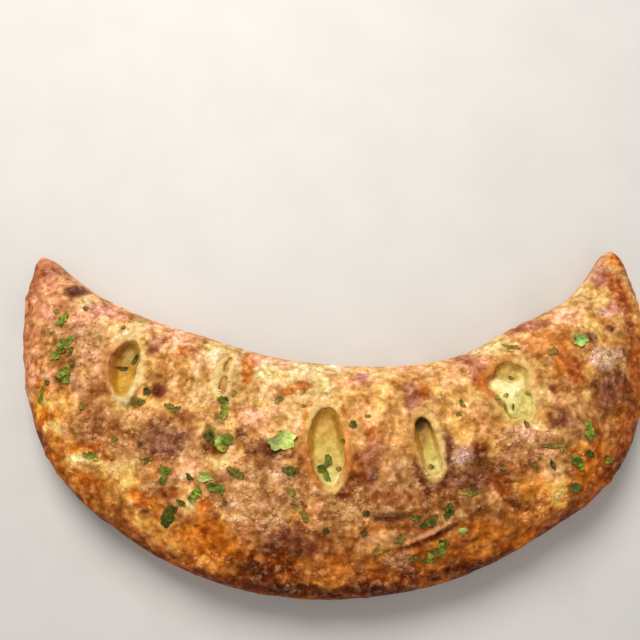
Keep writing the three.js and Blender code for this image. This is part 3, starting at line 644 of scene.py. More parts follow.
# ---- Chopped parsley: x, y, length, width and turn in degrees of each leaf, by how green it has stayed ----
LEAF_CLEARANCE = 0.1  # between a leaf and what it lies on
LEAF_THICKNESS = 0.3
RAY_START = 90  # height above the whole calzone, from which rays look down
LEAF_TONES = {
    "bright": (127, 134, 40),
    "dark": (90, 88, 19),
    # The darkest leaf tone, partly painted shade for leaves lying inside the first vent.
    "darkest": (80, 68, 20),
    "olive": (134, 114, 42),
    "faded": (132, 122, 46),
    "pale": (152, 168, 84),
}
LEAF_CURLS = {"pale": 0.4, "darkest": 0.25}  # less than 1 where leaves lie flatter
LEAVES = {
    "bright": [
        seen(64, 320, 12, 8, 60), seen(65, 343, 14, 10, 20), seen(54.5, 355.5, 11, 9, 0),
        seen(64, 372, 12, 10, 30), seen(66, 379, 9, 8, 0), seen(42, 391, 9, 7, 70), seen(41, 399, 9, 7, 40),
        seen(224, 410, 14, 9, 80), seen(226, 443, 15, 13, 50), [*spot(329, 461), 5.5, 4.5, 80],
        [*spot(326, 476), 5.9, 4, -70], seen(217, 488, 14, 10, -10), seen(196, 495, 13, 10, 50),
        seen(164.5, 476, 15, 9, 75), seen(90, 455, 13, 7, -10), seen(438, 551, 16, 10, 30),
        seen(428, 559, 11, 6, 15), seen(589, 430, 15, 11, -80), seen(577.7, 463, 13, 11, -40),
        seen(610, 461, 9, 8, 0), seen(575.5, 487, 11, 10, 0),
    ],
    "dark": [
        seen(61, 350, 9, 8, 0), seen(71, 350, 6, 7, 0), seen(59, 378, 8, 6, 0), seen(46, 382, 6, 5, 0),
        seen(147, 391.7, 7, 6, 90), seen(223, 399, 10, 8, 0), seen(209.6, 435, 11, 9, 50),
        seen(290, 470, 12, 9, -10), [*spot(321, 468), 4.6, 4, 0], seen(189.7, 478, 9, 6, -60),
        seen(182, 502, 9, 7, -20), seen(169, 515, 18, 14, 70), seen(354, 425, 7, 6, 0),
        seen(415, 517, 10, 7, -10), seen(429, 522, 14, 7, 20), seen(447.5, 511, 12, 10, 70),
        seen(444.5, 543, 10, 8, 0), seen(590, 453, 10, 9, 0), seen(553, 464, 9, 6, -60),
    ],
    # The darkest leaves; the two in the first vent are painted in shade.
    "darkest": [
        [-105, 24, 5, 1.6, 0], [-99.5, 28.5, 6, 1.8, 58], [*spot(326, 531), 3.2, 2.4, 0],
        [*spot(366, 514), 3, 2.2, 0], [*spot(364, 534), 3.2, 2.6, 0],
    ],
    "olive": [
        seen(56.5, 312, 5, 4, 0), seen(85, 308, 5, 4, 0), seen(123.4, 328, 5, 4, 0),
        seen(140, 402, 10, 7, -20), seen(172, 407, 13, 6, -20), seen(234, 393, 6, 4, 50),
        seen(278, 399, 10, 7, 45), seen(304, 405, 4, 3, 0), seen(338, 468, 5, 5, 0),
        seen(343, 440, 5, 4, 60), seen(235, 473, 13, 10, -30), seen(146, 461, 11, 7, 15),
        seen(115, 439, 6, 5, 0), seen(82, 406, 5, 5, 0), seen(367, 415, 6, 3, 0), seen(431, 466, 5, 5, 0),
        seen(293, 493, 7, 6, 0), seen(296, 507, 9, 6, -30), seen(304.5, 515, 11, 7, -60),
        seen(225, 503, 5, 4, 0), seen(467, 493, 14.5, 8, -5), seen(401, 540, 11, 7, 20),
        seen(415, 558, 11, 6, 10), seen(376, 552, 6, 5, 0), seen(553, 350.6, 10, 9, 30),
        seen(510.4, 347.6, 12, 4, -20), seen(526.7, 424, 6, 5, -45), seen(462.4, 403, 9, 5, -70),
        seen(459, 414, 5, 4, 0), seen(556, 446, 20, 6, 0), seen(533, 464, 6, 5, 0), seen(503, 469, 6, 4, 0),
    ],
    "faded": [
        [*spot(498.3, 397.5), 2.2, 1.5, 80], [*spot(504, 395.5, below=5), 2.6, 1.6, 30],
        [*spot(511.5, 408, below=5), 3.4, 1.1, 85], [*spot(526, 393, below=5), 2.7, 1.8, -50],
        [*spot(511.4, 377), 2.6, 2, -30],
    ],
    "pale": [
        [122.5, 38, 7, 5, 0], seen(219, 440, 9, 8, 30), [*spot(283, 441), 12, 9.5, -10],
        seen(203.5, 478, 13.5, 8, -15), seen(462, 531, 8, 5, 20),
    ],
}


# ======================= Meshes =======================

def stations_along(steps, reach=1.0):
    main = NOSE_START * np.linspace(-1, 1, steps + 1)
    turns = (np.arange(NOSE_STEPS - 1) + 1) / NOSE_STEPS * math.pi / 2
    nose = NOSE_START + (1 - NOSE_START) * np.sin(turns)
    return np.concatenate([-nose[::-1], main, nose]) * reach


def angles_around(top_steps, under_steps):
    top = math.pi * np.arange(top_steps) / top_steps
    under = math.pi + math.pi * np.arange(under_steps) / under_steps
    return np.concatenate([top, under])


def ring_faces(rings, count, loop, start=0):
    """Faces of a skin over rings of points: quads between neighbouring rings, joined round each ring."""
    j = np.arange(rings if loop else rings - 1)[:, None]
    i = np.arange(count)[None, :]
    a = j * count + i
    b = j * count + (i + 1) % count
    c = (j + 1) % rings * count + (i + 1) % count
    d = (j + 1) % rings * count + i
    return (np.stack([a, d, c, b], axis=-1).reshape(-1, 4) + start).tolist()


def skin(grid, loop=False):
    """Points and faces of a closed skin over a grid of rings; an open run of rings gets a fan at each end."""
    rings, count = grid.shape[:2]
    points = grid.reshape(-1, 3)
    faces = ring_faces(rings, count, loop)
    if not loop:
        middles = np.stack([grid[0].mean(0), grid[-1].mean(0)])
        base = len(points)
        points = np.concatenate([points, middles])
        last = (rings - 1) * count
        for i in range(count):
            following = (i + 1) % count
            faces.append([base, i, following])
            faces.append([base + 1, last + following, last + i])
    return points, faces


def tube(centres, radii, around, loop):
    """A tube round a run of points, lying level."""
    before = np.roll(centres, 1, axis=0)
    after = np.roll(centres, -1, axis=0)
    if not loop:
        before[0], after[-1] = centres[0], centres[-1]
    tangent = after - before
    tangent /= np.linalg.norm(tangent, axis=1)[:, None]
    side = np.cross([0, 0, 1], tangent)
    side /= np.linalg.norm(side, axis=1)[:, None]
    up = np.cross(tangent, side)
    turn = 2 * math.pi * np.arange(around) / around
    ring = np.cos(turn)[None, :, None] * side[:, None] + np.sin(turn)[None, :, None] * up[:, None]
    return skin(centres[:, None] + ring * np.asarray(radii)[:, None, None], loop)


def join(shapes):
    """Several (points, faces) as one."""
    points, faces, start = [], [], 0
    for own_points, own_faces in shapes:
        points.append(own_points)
        faces.extend([[v + start for v in face] for face in own_faces])
        start += len(own_points)
    return np.concatenate(points), faces


def mesh_object(name, points, faces):
    mesh = bpy.data.meshes.new(name)
    mesh.from_pydata((np.asarray(points) * MM).tolist(), [], faces)
    mesh.update()
    made = bpy.data.objects.new(name, mesh)
    bpy.context.scene.collection.objects.link(made)
    return made


def apply_modifiers(thing):
    graph = bpy.context.evaluated_depsgraph_get()
    old = thing.data
    new = bpy.data.meshes.new_from_object(thing.evaluated_get(graph))
    thing.modifiers.clear()
    thing.data = new
    bpy.data.meshes.remove(old)
    new.name = thing.name
    new.materials.clear()


def read_points(mesh, what="co"):
    values = np.empty(len(mesh.vertices) * 3, np.float32)
    mesh.vertices.foreach_get(what, values)
    return values.reshape(-1, 3).astype(float)


def write_points(mesh, points_mm):
    mesh.vertices.foreach_set("co", (points_mm * MM).astype(np.float32).ravel())
    mesh.update()


def write_colour(mesh, name, colours):
    attribute = mesh.attributes.new(name, "FLOAT_COLOR", "POINT")
    rgba = np.concatenate([colours, np.ones((len(colours), 1))], axis=1)
    attribute.data.foreach_set("color", rgba.astype(np.float32).ravel())


def write_value(mesh, name, values):
    attribute = mesh.attributes.new(name, "FLOAT", "POINT")
    attribute.data.foreach_set("value", values.astype(np.float32))


def shade_smooth(thing):
    thing.data.polygons.foreach_set("use_smooth", np.ones(len(thing.data.polygons), bool))


# ======================= Crust =======================

def vent_turn(vent, across, along):
    return np.arctan2(along / (vent["length"] / 2), across / (vent["width"] / 2))


def vent_wall(vent, across, along):
    """Width of the slope inside a vent's edge at points round it."""
    width, varies, widest = vent["wall"]
    width = width + varies * np.cos(vent_turn(vent, across, along) - math.radians(widest))
    return np.minimum(width, 0.45 * vent["width"])


def sunk(x, y):
    """How far the vents sink the crust's surface below its plain height."""
    depth = np.zeros(np.shape(x))
    for vent in VENTS:
        beyond = vent_place(vent, x, y)[2]
        depth = np.maximum(depth, VENT_DEPTH * smooth(beyond, 0.2, -VENT_WALL))
    return depth


def crust_body():
    t = stations_along(ALONG_STEPS)
    phi = angles_around(TOP_STEPS, UNDER_STEPS)
    stations, angles = np.meshgrid(t, phi, indexing="ij")
    grid = crescent_point(stations, angles, rough=True)
    on_top = smooth(np.sin(angles), 0.15, 0.4)
    grid[..., 2] -= on_top * sunk(grid[..., 0], grid[..., 1])
    return skin(grid)


def lip(vent, noise):
    """The rolled edge of a vent, thicker on one side and uneven."""
    radius, varies, thickest = vent["lip"]
    turn = 2 * math.pi * np.arange(LIP_STEPS) / LIP_STEPS
    circle = np.stack([np.cos(turn) * 9, np.sin(turn) * 9, np.full(LIP_STEPS, vent["at"][0])], axis=1)
    rough = noise(circle, 4.5)
    radii = radius + varies * np.cos(turn - math.radians(thickest)) + 0.35 * rough
    x, y = round_vent(vent, turn, LIP_OFFSET * 0.75 + 0.5 * rough)
    centres = np.stack([x, y, top_height(x, y) - radii * 0.45], axis=1)
    return tube(centres, radii, LIP_SECTION_STEPS, True)


def sagging_line(start, end, sag, steps):
    """Points in plan along a line that bows sideways by sag."""
    start, end = np.array(start, float), np.array(end, float)
    share = np.linspace(0, 1, steps)[:, None]
    way = end - start
    side = np.array([-way[1], way[0]]) / np.linalg.norm(way)
    return start + way * share + side * (4 * share * (1 - share) * sag)


def pleat(start, end, sag, radius):
    line = sagging_line(start, end, sag, 24)
    radii = radius * (0.35 + 0.65 * np.sin(math.pi * np.linspace(0, 1, len(line))))
    height = top_height(line[:, 0], line[:, 1]) - radius * 0.3
    return tube(np.column_stack([line, height]), radii, LIP_SECTION_STEPS, False)


def distance_to_line(points, line):
    """Distance in plan from points to a run of points."""
    best = np.full(len(points), 1e9)
    for a, b in zip(line[:-1], line[1:]):
        way = b - a
        share = np.clip(((points - a) @ way) / (way @ way), 0, 1)
        best = np.minimum(best, np.linalg.norm(points - a - share[:, None] * way, axis=1))
    return best


def small_blisters(points, count, radius, height, rng):
    """Height of many small round blisters strewn over the crust."""
    rise = np.zeros(len(points))
    order = np.argsort(points[:, 0])
    sorted_x = points[order, 0]
    for _ in range(count):
        t, across = rng.uniform(-0.95, 0.95), rng.uniform(-0.9, 0.95)
        inner, outer = station_value(0, t), station_value(1, t)
        distance = (inner + outer) / 2 + across * (outer - inner) / 2
        x = distance * math.sin(t * FAN_HALF_ANGLE)
        y = FAN_CENTRE_Y - distance * math.cos(t * FAN_HALF_ANGLE)
        r, h = rng.uniform(*radius), rng.uniform(*height)
        near = order[np.searchsorted(sorted_x, x - 2 * r):np.searchsorted(sorted_x, x + 2 * r)]
        gap = (points[near, 0] - x) ** 2 + (points[near, 1] - y) ** 2
        rise[near] += h * np.exp(-gap / (r * 0.7) ** 2)
    return rise


def grit(points, noise):
    """Where grated cheese has baked on, about -1 to 1, in lumps two or three millimetres across."""
    return noise(points * FLATTEN + 50, 3.1, 2)


def lumps(points, noise):
    """The knobbly surface of the crust, in millimetres."""
    return 0.7 * noise(points * FLATTEN + 90, 5.8, 2) + 0.36 * grit(points, noise)


def crust_relief(points, normals, noise):
    """How far each point of the crust moves along its normal: lumps, bubbles, creases and grain."""
    x, y = points[:, 0], points[:, 1]
    up = smooth(normals[:, 2], -0.5, 0.3)
    _, across = plan_place(x, y)
    depth = top_height(x, y) - points[:, 2]
    open_air = smooth(depth, 4.0, 1.0) + smooth(np.abs(across), 0.85, 0.97)
    free = up * np.clip(open_air, 0.15, 1)
    on_top = smooth(normals[:, 2], 0.1, 0.6)
    rough = (0.3 + 0.75 * on_top) * noise(points, 12, 2) + (0.1 + 0.9 * on_top) * lumps(points, noise)
    blisters = small_blisters(points, rng=np.random.default_rng(SEED), **SMALL_BLISTERS)
    for (bx, by), radius, height in BUBBLES:
        blisters += height * np.exp(-((x - bx) ** 2 + (y - by) ** 2) / radius ** 2)
    rough += blisters * smooth(normals[:, 2], 0.35, 0.8)
    for start, end, sag, width, deep in CREASES:
        gap = distance_to_line(points[:, :2], sagging_line(start, end, sag, 9))
        rough -= deep * np.exp(-(gap / width) ** 2)
    return rough * free


def make_crust(noise):
    shapes = [crust_body()]
    shapes += [lip(vent, noise) for vent in VENTS]
    shapes += [pleat(**fold) for fold in PLEATS + PUCKERS]
    crust = mesh_object("crust_baked", *join(shapes))
    remesh = crust.modifiers.new("even", "REMESH")
    remesh.mode = "VOXEL"
    remesh.voxel_size = CRUST_VOXEL * MM
    soften = crust.modifiers.new("soften", "SMOOTH")
    soften.factor, soften.iterations = 0.5, 3
    apply_modifiers(crust)
    points = read_points(crust.data) / MM
    normals = read_points(crust.data, "normal")
    points += normals * crust_relief(points, normals, noise)[:, None]
    points[:, 2] = np.maximum(points[:, 2], 0)
    write_points(crust.data, points)
    hollow(crust)
    return crust


def hollow(crust):
    """Takes the space for the filling out of the crust, so that the vents open into it."""
    along, top, under = CAVITY_STEPS
    t = stations_along(along, FILLED_SHARE)
    stations, angles = np.meshgrid(t, angles_around(top, under), indexing="ij")
    grid = crescent_point(stations, angles, inset=CRUST_THICKNESS, floor=BASE_THICKNESS, reach=FILLED_SHARE)
    cavity = mesh_object("cavity", *skin(grid))
    cut = crust.modifiers.new("cut", "BOOLEAN")
    cut.operation, cut.solver, cut.object = "DIFFERENCE", "MANIFOLD", cavity
    apply_modifiers(crust)
    bpy.data.objects.remove(cavity)


def patch_share(points, patch, ragged):
    """How much of a patch's tone each point takes: 1 in its middle, 0 outside, with a ragged edge."""
    x, y, half_length, half_width, turn = patch
    turn = math.radians(turn)
    dx, dy = points[:, 0] - x, points[:, 1] - y
    along = (dx * math.cos(turn) + dy * math.sin(turn)) / half_length
    across = (dy * math.cos(turn) - dx * math.sin(turn)) / half_width
    size = min(1, math.sqrt(half_length * half_width) / 7)
    return smooth(np.hypot(along, across) + ragged * size, 1.35, 0.55)


def round_tones(tones, turn):
    """Tones given by turn in degrees, blended smoothly all the way round."""
    at = np.array([angle for angle, _ in tones])
    values = np.stack([to_linear(colour) for _, colour in tones])
    degrees = np.degrees(turn) % 360
    return np.stack([np.interp(degrees, at, values[:, k], period=360) for k in range(3)], axis=1)


def powder_share(x, y, ragged):
    """How thickly grated cheese lies at points in plan."""
    powder = np.full(len(x), 0.05)
    for px, py, half_length, half_width, share in POWDER:
        gap = np.hypot((x - px) / half_length, (y - py) / half_width) + 1.4 * ragged
        powder = np.maximum(powder, share * smooth(gap, 1.35, 0.3))
    return powder


def bare_share(points, ragged):
    """Where a charred spot leaves no grated cheese, from 0 to 1."""
    bare = np.zeros(len(points))
    for tone, patches in PATCHES:
        if tone in ROUND_TONES:
            for patch in patches:
                bare = np.maximum(bare, smooth(patch_share(points, patch, ROUND_EDGE * ragged), 0, 0.4))
    return bare


def toasted(points, across, ragged, noise):
    """The crust's tones from the folded to the sealed edge, with the toasted patches on them."""
    shares = np.array([share for share, _ in BASE_TONES])
    tones = np.stack([to_linear(TONES[tone]) for _, tone in BASE_TONES])
    place = across + 0.3 * noise(points * FLATTEN + 70, 16, 3)
    colour = np.stack([np.interp(place, shares, tones[:, k]) for k in range(3)], axis=1)
    for tone, patches in PATCHES:
        for patch in patches:
            edge = ragged * (ROUND_EDGE if tone in ROUND_TONES else 1)
            colour = blend(colour, to_linear(TONES[tone]), 0.9 * patch_share(points, patch, edge))
    return colour


def tint_sides(colour, z, up, across):
    """Browner low sides, a pale steep wall inside the bend, and a dark base, by height and slope."""
    low = smooth(z, 17, 4) * smooth(up, 0.5, -0.1)
    outside = smooth(across, -0.2, 0.6)
    colour = blend(colour, to_linear(TONES["brown"]), 0.5 * low * (1 - outside))
    colour = blend(colour, to_linear(TONES["rim"]), 0.75 * low * outside)
    steep = smooth(up, 0.4, 0.0) * smooth(across, -0.6, -0.95) * (1 - low)
    colour = blend(colour, to_linear(TONES["palegold"]), 0.65 * steep)
    base = smooth(z, 1.2, 0.2) * smooth(up, -0.4, -0.8)
    return blend(colour, to_linear(TONES["umber"]), 0.6 * base)


def mottle(colour, points, station, ragged, noise):
    """Uneven baking: smears, swings of hue, and the listed shades."""
    flat = points * FLATTEN
    smear = 0.58 * noise(flat + 20, 11, 2) + 0.5 * noise(flat + 10, 5, 2) + 0.12 * noise(flat, 2.2, 2)
    smear *= 1 - 0.4 * smooth(np.abs(station), 0.76, 0.93)
    colour = bake(colour, 0.97 * np.exp(0.9 * smear + 0.25 * lumps(points, noise)))
    colour = colour * np.exp(noise(flat + 130, 9, 2)[:, None] * HUE_SWING)
    # Lighter and darker parts from SHADES, one of them painted shade.
    for *patch, light in SHADES:
        colour = bake(colour, light ** patch_share(points, patch, ragged))
    return colour


def tint_grit(colour, grains, granular, up):
    """Dark gaps and pale tops of the baked-on cheese."""
    colour = bake(colour, np.exp(0.9 * granular * np.minimum(grains + 0.1, 0)))
    raised = granular * smooth(grains, 0.0, 0.7) * (0.25 + 0.75 * smooth(up, 0.0, 0.5))
    colour = bake(colour, np.exp(0.45 * raised))
    return blend(colour, to_linear(TONES["grain"]), 0.42 * raised)


def tint_vents(colour, points, depth, noise):
    """Puts the tones round the vents and down their slopes into colour, the far slopes' dark tones being
    painted shade; gives how much of a point is vent.
    """
    x, y = points[:, 0], points[:, 1]
    wall = np.zeros(len(points))
    for vent in VENTS:
        near = vent_place(vent, x, y)[2] < RIM_REACH
        place = points[near]
        across_vent, along_vent, beyond = vent_place(vent, place[:, 0], place[:, 1])
        turn = vent_turn(vent, across_vent, along_vent)
        wobble = 0.8 * noise(place + 60, 4, 2)
        on_rim = smooth(beyond + wobble, 4.4, 1.8) * 0.92
        down = smooth(depth[near], 0.3, 2.2) * smooth(beyond, 1.0, -0.8)
        speckle = 1 + 0.2 * noise(place, 2.6, 3)
        rim = bake(round_tones(vent["rim"], turn), speckle)
        slope = bake(round_tones(vent["slope"], turn), speckle)
        colour[near] = blend(blend(colour[near], rim, on_rim), slope, down)
        wall[near] = np.maximum(wall[near], np.maximum(0.75 * on_rim, down))
    return wall


def paint_crust(crust, noise):
    points = read_points(crust.data) / MM
    normals = read_points(crust.data, "normal")
    x, y, z = points.T
    up = normals[:, 2]
    station, across = plan_place(x, y)
    flat = points * FLATTEN
    ragged = 0.34 * noise(flat, 7, 3) + 0.16 * noise(flat + 40, 2, 2)
    bare = bare_share(points, ragged)
    powder = powder_share(x, y, ragged) * (1 - bare)
    colour = toasted(points, across, ragged, noise)
    colour = tint_sides(colour, z, up, across)
    colour = mottle(colour, points, station, ragged, noise)
    granular = (0.4 + 0.6 * np.clip(powder, 0, 1)) * (1 - 0.9 * bare)
    colour = tint_grit(colour, grit(points, noise), granular, up)

    depth = top_height(x, y) - z
    wall = tint_vents(colour, points, depth, noise)
    inside = smooth(depth, 5.0, 6.0) * smooth(np.abs(across), 0.95, 0.8) * smooth(z, 3.0, 3.6)
    hidden = inside * smooth(np.min([vent_place(vent, x, y)[2] for vent in VENTS], axis=0), 0.2, 1.2)
    colour = blend(colour, to_linear(INNER_WALL_TONE), hidden)

    bare_wall = np.maximum(wall, hidden)
    powder *= (1 - bare_wall) * smooth(up, 0.35, 0.8) * smooth(np.abs(across), 0.97, 0.9)
    warmth = blend(WARMTH[0], WARMTH[1], smooth(across, -1.0, 0.9))
    colour = colour * warmth
    colour *= 1 - 0.24 * smooth(colour[:, 1:2], 0.4, 0.95)
    write_colour(crust.data, "toast", np.clip(colour, 0, 1))
    write_value(crust.data, "powder", powder)
    write_value(crust.data, "wall", bare_wall)
    shade_smooth(crust)


# ======================= Filling =======================

def vent_grid(vent, rings, turns, beyond):
    """Points in plan over a vent's oval, from its middle to so far beyond its edge, ring by ring."""
    turn = 2 * math.pi * np.arange(turns) / turns
    edge_x, edge_y = round_vent(vent, turn, beyond)
    share = (np.arange(1, rings + 1) / rings)[:, None]
    cx, cy = vent["at"]
    return cx + (edge_x - cx) * share, cy + (edge_y - cy) * share


def pool(vent, noise):
    """The melted cheese that shows in one vent: a rough, closed pat that reaches under the crust's edge."""
    x, y = vent_grid(vent, POOL_RINGS, POOL_TURNS, POOL_REACH)
    cx, cy = vent["at"]
    x = np.concatenate([[cx], x.ravel()])
    y = np.concatenate([[cy], y.ravel()])
    across, along, beyond = vent_place(vent, x, y)
    share = along / (vent["length"] / 2)
    far, middle_deep, near_deep = vent["pool"]
    depths = (far, middle_deep + 0.8, middle_deep, near_deep)
    deep = np.interp(-share, (-0.95, -0.35, 0.1, 0.95), depths)
    place = np.column_stack([x, y, np.full(len(x), 3.0 * cx)])
    bulge = vent.get("clots", 1) * (0.8 * noise(place, 6.5, 2) + 0.2 * noise(place + 50, 2.6, 2))
    dish = smooth(beyond, 0.2, -vent_wall(vent, across, along))
    top = top_height(x, y) - POOL_EDGE - (deep - POOL_EDGE) * dish + bulge * smooth(beyond, -0.5, -4.0)
    top = np.minimum(top, top_height(x, y) - 0.4) - 2.5 * smooth(beyond, 0, POOL_REACH)
    rim = np.arange(1 + (POOL_RINGS - 1) * POOL_TURNS, len(x))
    points = np.column_stack([x, y, top])
    below = np.column_stack([x[rim], y[rim], top[rim] - 5])
    middle = [[cx, cy, top[0] - 5]]
    faces = [[0, 1 + i, 1 + (i + 1) % POOL_TURNS] for i in range(POOL_TURNS)]
    faces += ring_faces(POOL_RINGS + 1, POOL_TURNS, False, 1)
    first, last = 1 + POOL_RINGS * POOL_TURNS, 1 + (POOL_RINGS + 1) * POOL_TURNS
    faces += [[last, first + (i + 1) % POOL_TURNS, first + i] for i in range(POOL_TURNS)]
    return np.concatenate([points, below, middle]), faces


def make_filling(noise):
    gap = CRUST_THICKNESS + FILLING_GAP
    reach = FILLED_SHARE - FILLED_GAP_SHARE
    stations, angles = np.meshgrid(stations_along(150, reach), angles_around(48, 12), indexing="ij")
    core = crescent_point(stations, angles, inset=gap, floor=BASE_THICKNESS + FILLING_GAP, reach=reach)
    filling = mesh_object("cheese_melted", *join([skin(core)] + [pool(vent, noise) for vent in VENTS]))
    shade_smooth(filling)
    return filling


def paint_filling(filling, noise):
    points = read_points(filling.data) / MM
    x, y = points[:, 0], points[:, 1]
    colour = np.tile(to_linear(CORE_TONE), (len(points), 1))
    wobble = 0.3 * noise(points, 6, 3)
    for vent in VENTS:
        across, along, beyond = vent_place(vent, x, y)
        share = along / (vent["length"] / 2) + wobble
        steps = np.linspace(0.9, -0.9, len(vent["cheese"]))
        values = np.stack([to_linear(tone) for tone in vent["cheese"]])
        # Cheese tones from the far end to the near one, darker at the far end partly as painted shade.
        own = np.stack([np.interp(-share, -steps, values[:, k]) for k in range(3)], axis=1)
        wall = vent_wall(vent, across, along)
        # Slope tones spread onto the cheese's edge, with painted shade on the far side.
        slope = round_tones(vent["slope"], vent_turn(vent, across, along))
        own = blend(own, slope, smooth(beyond + wobble * 2.5, -1.0 * wall, -0.35 * wall))
        colour = blend(colour, own, smooth(beyond, 5, 1))
    # Paler and darker places in the cheese; the darkest of them are painted shade in the vents.
    for *patch, tone in CHEESE_TONES_AND_SHADE:
        colour = blend(colour, to_linear(tone), 0.85 * patch_share(points, patch, wobble))
    colour = bake(colour, 1 + 0.16 * noise(points + 30, 2.5, 3) + 0.12 * noise(points + 80, 5, 2))
    write_colour(filling.data, "tone", np.clip(colour, 0, 1))


# ======================= Crumbs and leaves =======================

def surface_samples(thing, count, density, rng):
    """Random places on a mesh, more of them where density is high: points, normals and the colour there."""
    mesh = thing.data
    mesh.calc_loop_triangles()
    corners = np.empty(len(mesh.loop_triangles) * 3, np.int32)
    mesh.loop_triangles.foreach_get("vertices", corners)
    corners = corners.reshape(-1, 3)
    points = read_points(mesh) / MM
    a, b, c = (points[corners[:, k]] for k in range(3))
    cross = np.cross(b - a, c - a)
    area = np.linalg.norm(cross, axis=1) / 2
    weight = area * density[corners].mean(1)
    pick = rng.choice(len(corners), size=count, p=weight / weight.sum())
    u, v = rng.random(count), rng.random(count)
    flip = u + v > 1
    u[flip], v[flip] = 1 - u[flip], 1 - v[flip]
    places = a[pick] + (b - a)[pick] * u[:, None] + (c - a)[pick] * v[:, None]
    normals = cross[pick] / np.maximum(np.linalg.norm(cross[pick], axis=1), 1e-9)[:, None]
    toast = np.empty(len(mesh.vertices) * 4, np.float32)
    mesh.attributes["toast"].data.foreach_get("color", toast)
    return places, normals, toast.reshape(-1, 4)[corners[pick, 0], :3].astype(float)


def round_grain():
    """A twelve-cornered grain, about a millimetre from its middle to each corner: points and faces."""
    golden = (1 + math.sqrt(5)) / 2
    corners = []
    for a, b in product((-1, 1), (-golden, golden)):
        corners += [(0, a, b), (a, b, 0), (b, 0, a)]
    points = np.array(corners, float) / math.hypot(1, golden)
    edge = 2 / math.hypot(1, golden) * 1.01
    near = np.linalg.norm(points[:, None] - points[None], axis=2) < edge
    faces = []
    for i in range(GRAIN_CORNERS):
        for j in range(i + 1, GRAIN_CORNERS):
            for k in range(j + 1, GRAIN_CORNERS):
                if near[i, j] and near[j, k] and near[i, k]:
                    out = np.dot(np.cross(points[j] - points[i], points[k] - points[i]), points[i])
                    faces.append([i, j, k] if out > 0 else [i, k, j])
    return points, np.array(faces)


def make_crumbs(name, thing, density, rng, count, sizes, light, pale, paleness):
    """Grains strewn over a surface, each uneven and turned its own way, and tinted by what it lies on."""
    places, normals, ground = surface_samples(thing, count, density, rng)
    shape, shape_faces = round_grain()
    size = sizes[0] + (sizes[1] - sizes[0]) * rng.random(count) ** 1.8
    corners = shape[None] * rng.uniform(0.6, 1.3, (count, GRAIN_CORNERS, 1))
    corners = corners + rng.normal(0, 0.14, (count, GRAIN_CORNERS, 3))
    flatness = np.full(count, CRUMB_FLATNESS)
    stretch = np.stack([rng.uniform(0.8, 1.5, count), rng.uniform(0.7, 1.1, count), flatness], axis=1)
    corners = corners * stretch[:, None] * (size / 2)[:, None, None]
    turn = rng.uniform(0, 2 * math.pi, count)
    helper = np.where(np.abs(normals[:, :1]) < 0.9, [[1.0, 0, 0]], [[0, 1.0, 0]])
    side = np.cross(normals, helper)
    side /= np.linalg.norm(side, axis=1)[:, None]
    other = np.cross(normals, side)
    right = side * np.cos(turn)[:, None] + other * np.sin(turn)[:, None]
    ahead = np.cross(normals, right)
    points = places[:, None] + corners[..., :1] * right[:, None] + corners[..., 1:2] * ahead[:, None]
    points = points + (corners[..., 2:] - (size * 0.06)[:, None, None]) * normals[:, None]
    faces = (shape_faces[None] + GRAIN_CORNERS * np.arange(count)[:, None, None]).reshape(-1, 3)
    crumbs = mesh_object(name, points.reshape(-1, 3), faces.tolist())
    colour = bake(ground, rng.uniform(*light, count))
    share = paleness[0] + (paleness[1] - paleness[0]) * rng.random(count) ** 2
    colour = blend(colour, to_linear(pale), share)
    write_colour(crumbs.data, "tone", np.clip(np.repeat(colour, GRAIN_CORNERS, axis=0), 0, 1))
    shade_smooth(crumbs)
    return crumbs


def leaf(length, width, rng, curled=1.0, torn=1.0):
    """A torn piece of parsley leaf round the origin: points, faces, and how far out each point is."""
    turn = 2 * math.pi * np.arange(LEAF_TURNS) / LEAF_TURNS
    lobes = rng.integers(2, 5)
    phase = rng.uniform(0, 2 * math.pi)
    lobed = torn * min(1.15, 0.7 + length / 14)
    rim = 1 + 0.05 * rng.normal(size=LEAF_TURNS)
    for k, depth in ((2, 0.12), (3, 0.14), (5, 0.1), (7, 0.06)):
        rim += lobed * depth * rng.uniform(0.4, 1.3) * np.cos(k * turn + rng.uniform(0, 2 * math.pi))
    bend = rng.uniform(-0.5, 0.5, 2)
    curl = curled * rng.uniform(0.15, 0.7)
    wave = rng.uniform(0.08, 0.22)
    levels = np.linspace(0, 1, LEAF_RINGS + 1)[1:]
    points = [[0, 0, 0]]
    for level in levels:
        reach = level * rim
        x, y = np.cos(turn) * reach * 0.5, np.sin(turn) * reach * 0.5
        z = curl * level ** 2 * 0.5 + bend[0] * x * np.abs(x) + bend[1] * y * x
        z = z + wave * level * np.sin(lobes * turn + phase + 1)
        points.extend(np.column_stack([x * length, y * width, z * width * 0.55]).tolist())
    points = np.array(points)
    faces = [[0, 1 + i, 1 + (i + 1) % LEAF_TURNS] for i in range(LEAF_TURNS)]
    for k in range(LEAF_RINGS - 1):
        base, following = 1 + k * LEAF_TURNS, 1 + (k + 1) * LEAF_TURNS
        for i in range(LEAF_TURNS):
            j = (i + 1) % LEAF_TURNS
            faces.append([base + i, following + i, following + j, base + j])
    out = np.concatenate([[0], np.repeat(levels, LEAF_TURNS)])
    return points, faces, out


def solid_leaf(length, width, rng, curled, torn, thickness=LEAF_THICKNESS):
    """The same leaf with a thickness: an upper and a lower face joined round the rim."""
    points, faces, out = leaf(length, width, rng, curled, torn)
    count = len(points)
    below = points - [0, 0, thickness]
    under = [[v + count for v in reversed(face)] for face in faces]
    first = count - LEAF_TURNS
    rim = []
    for i in range(LEAF_TURNS):
        j = (i + 1) % LEAF_TURNS
        rim.append([first + i, first + count + i, first + count + j, first + j])
    return np.concatenate([points, below]), faces + under + rim, np.concatenate([out, out])


def height_under(tree, x, y):
    """Height of a surface at a point in plan, in millimetres, or nan beside it."""
    place = tree.ray_cast(Vector((x, y, RAY_START)) * MM, Vector((0, 0, -1)))[0]
    return place.z / MM if place else math.nan


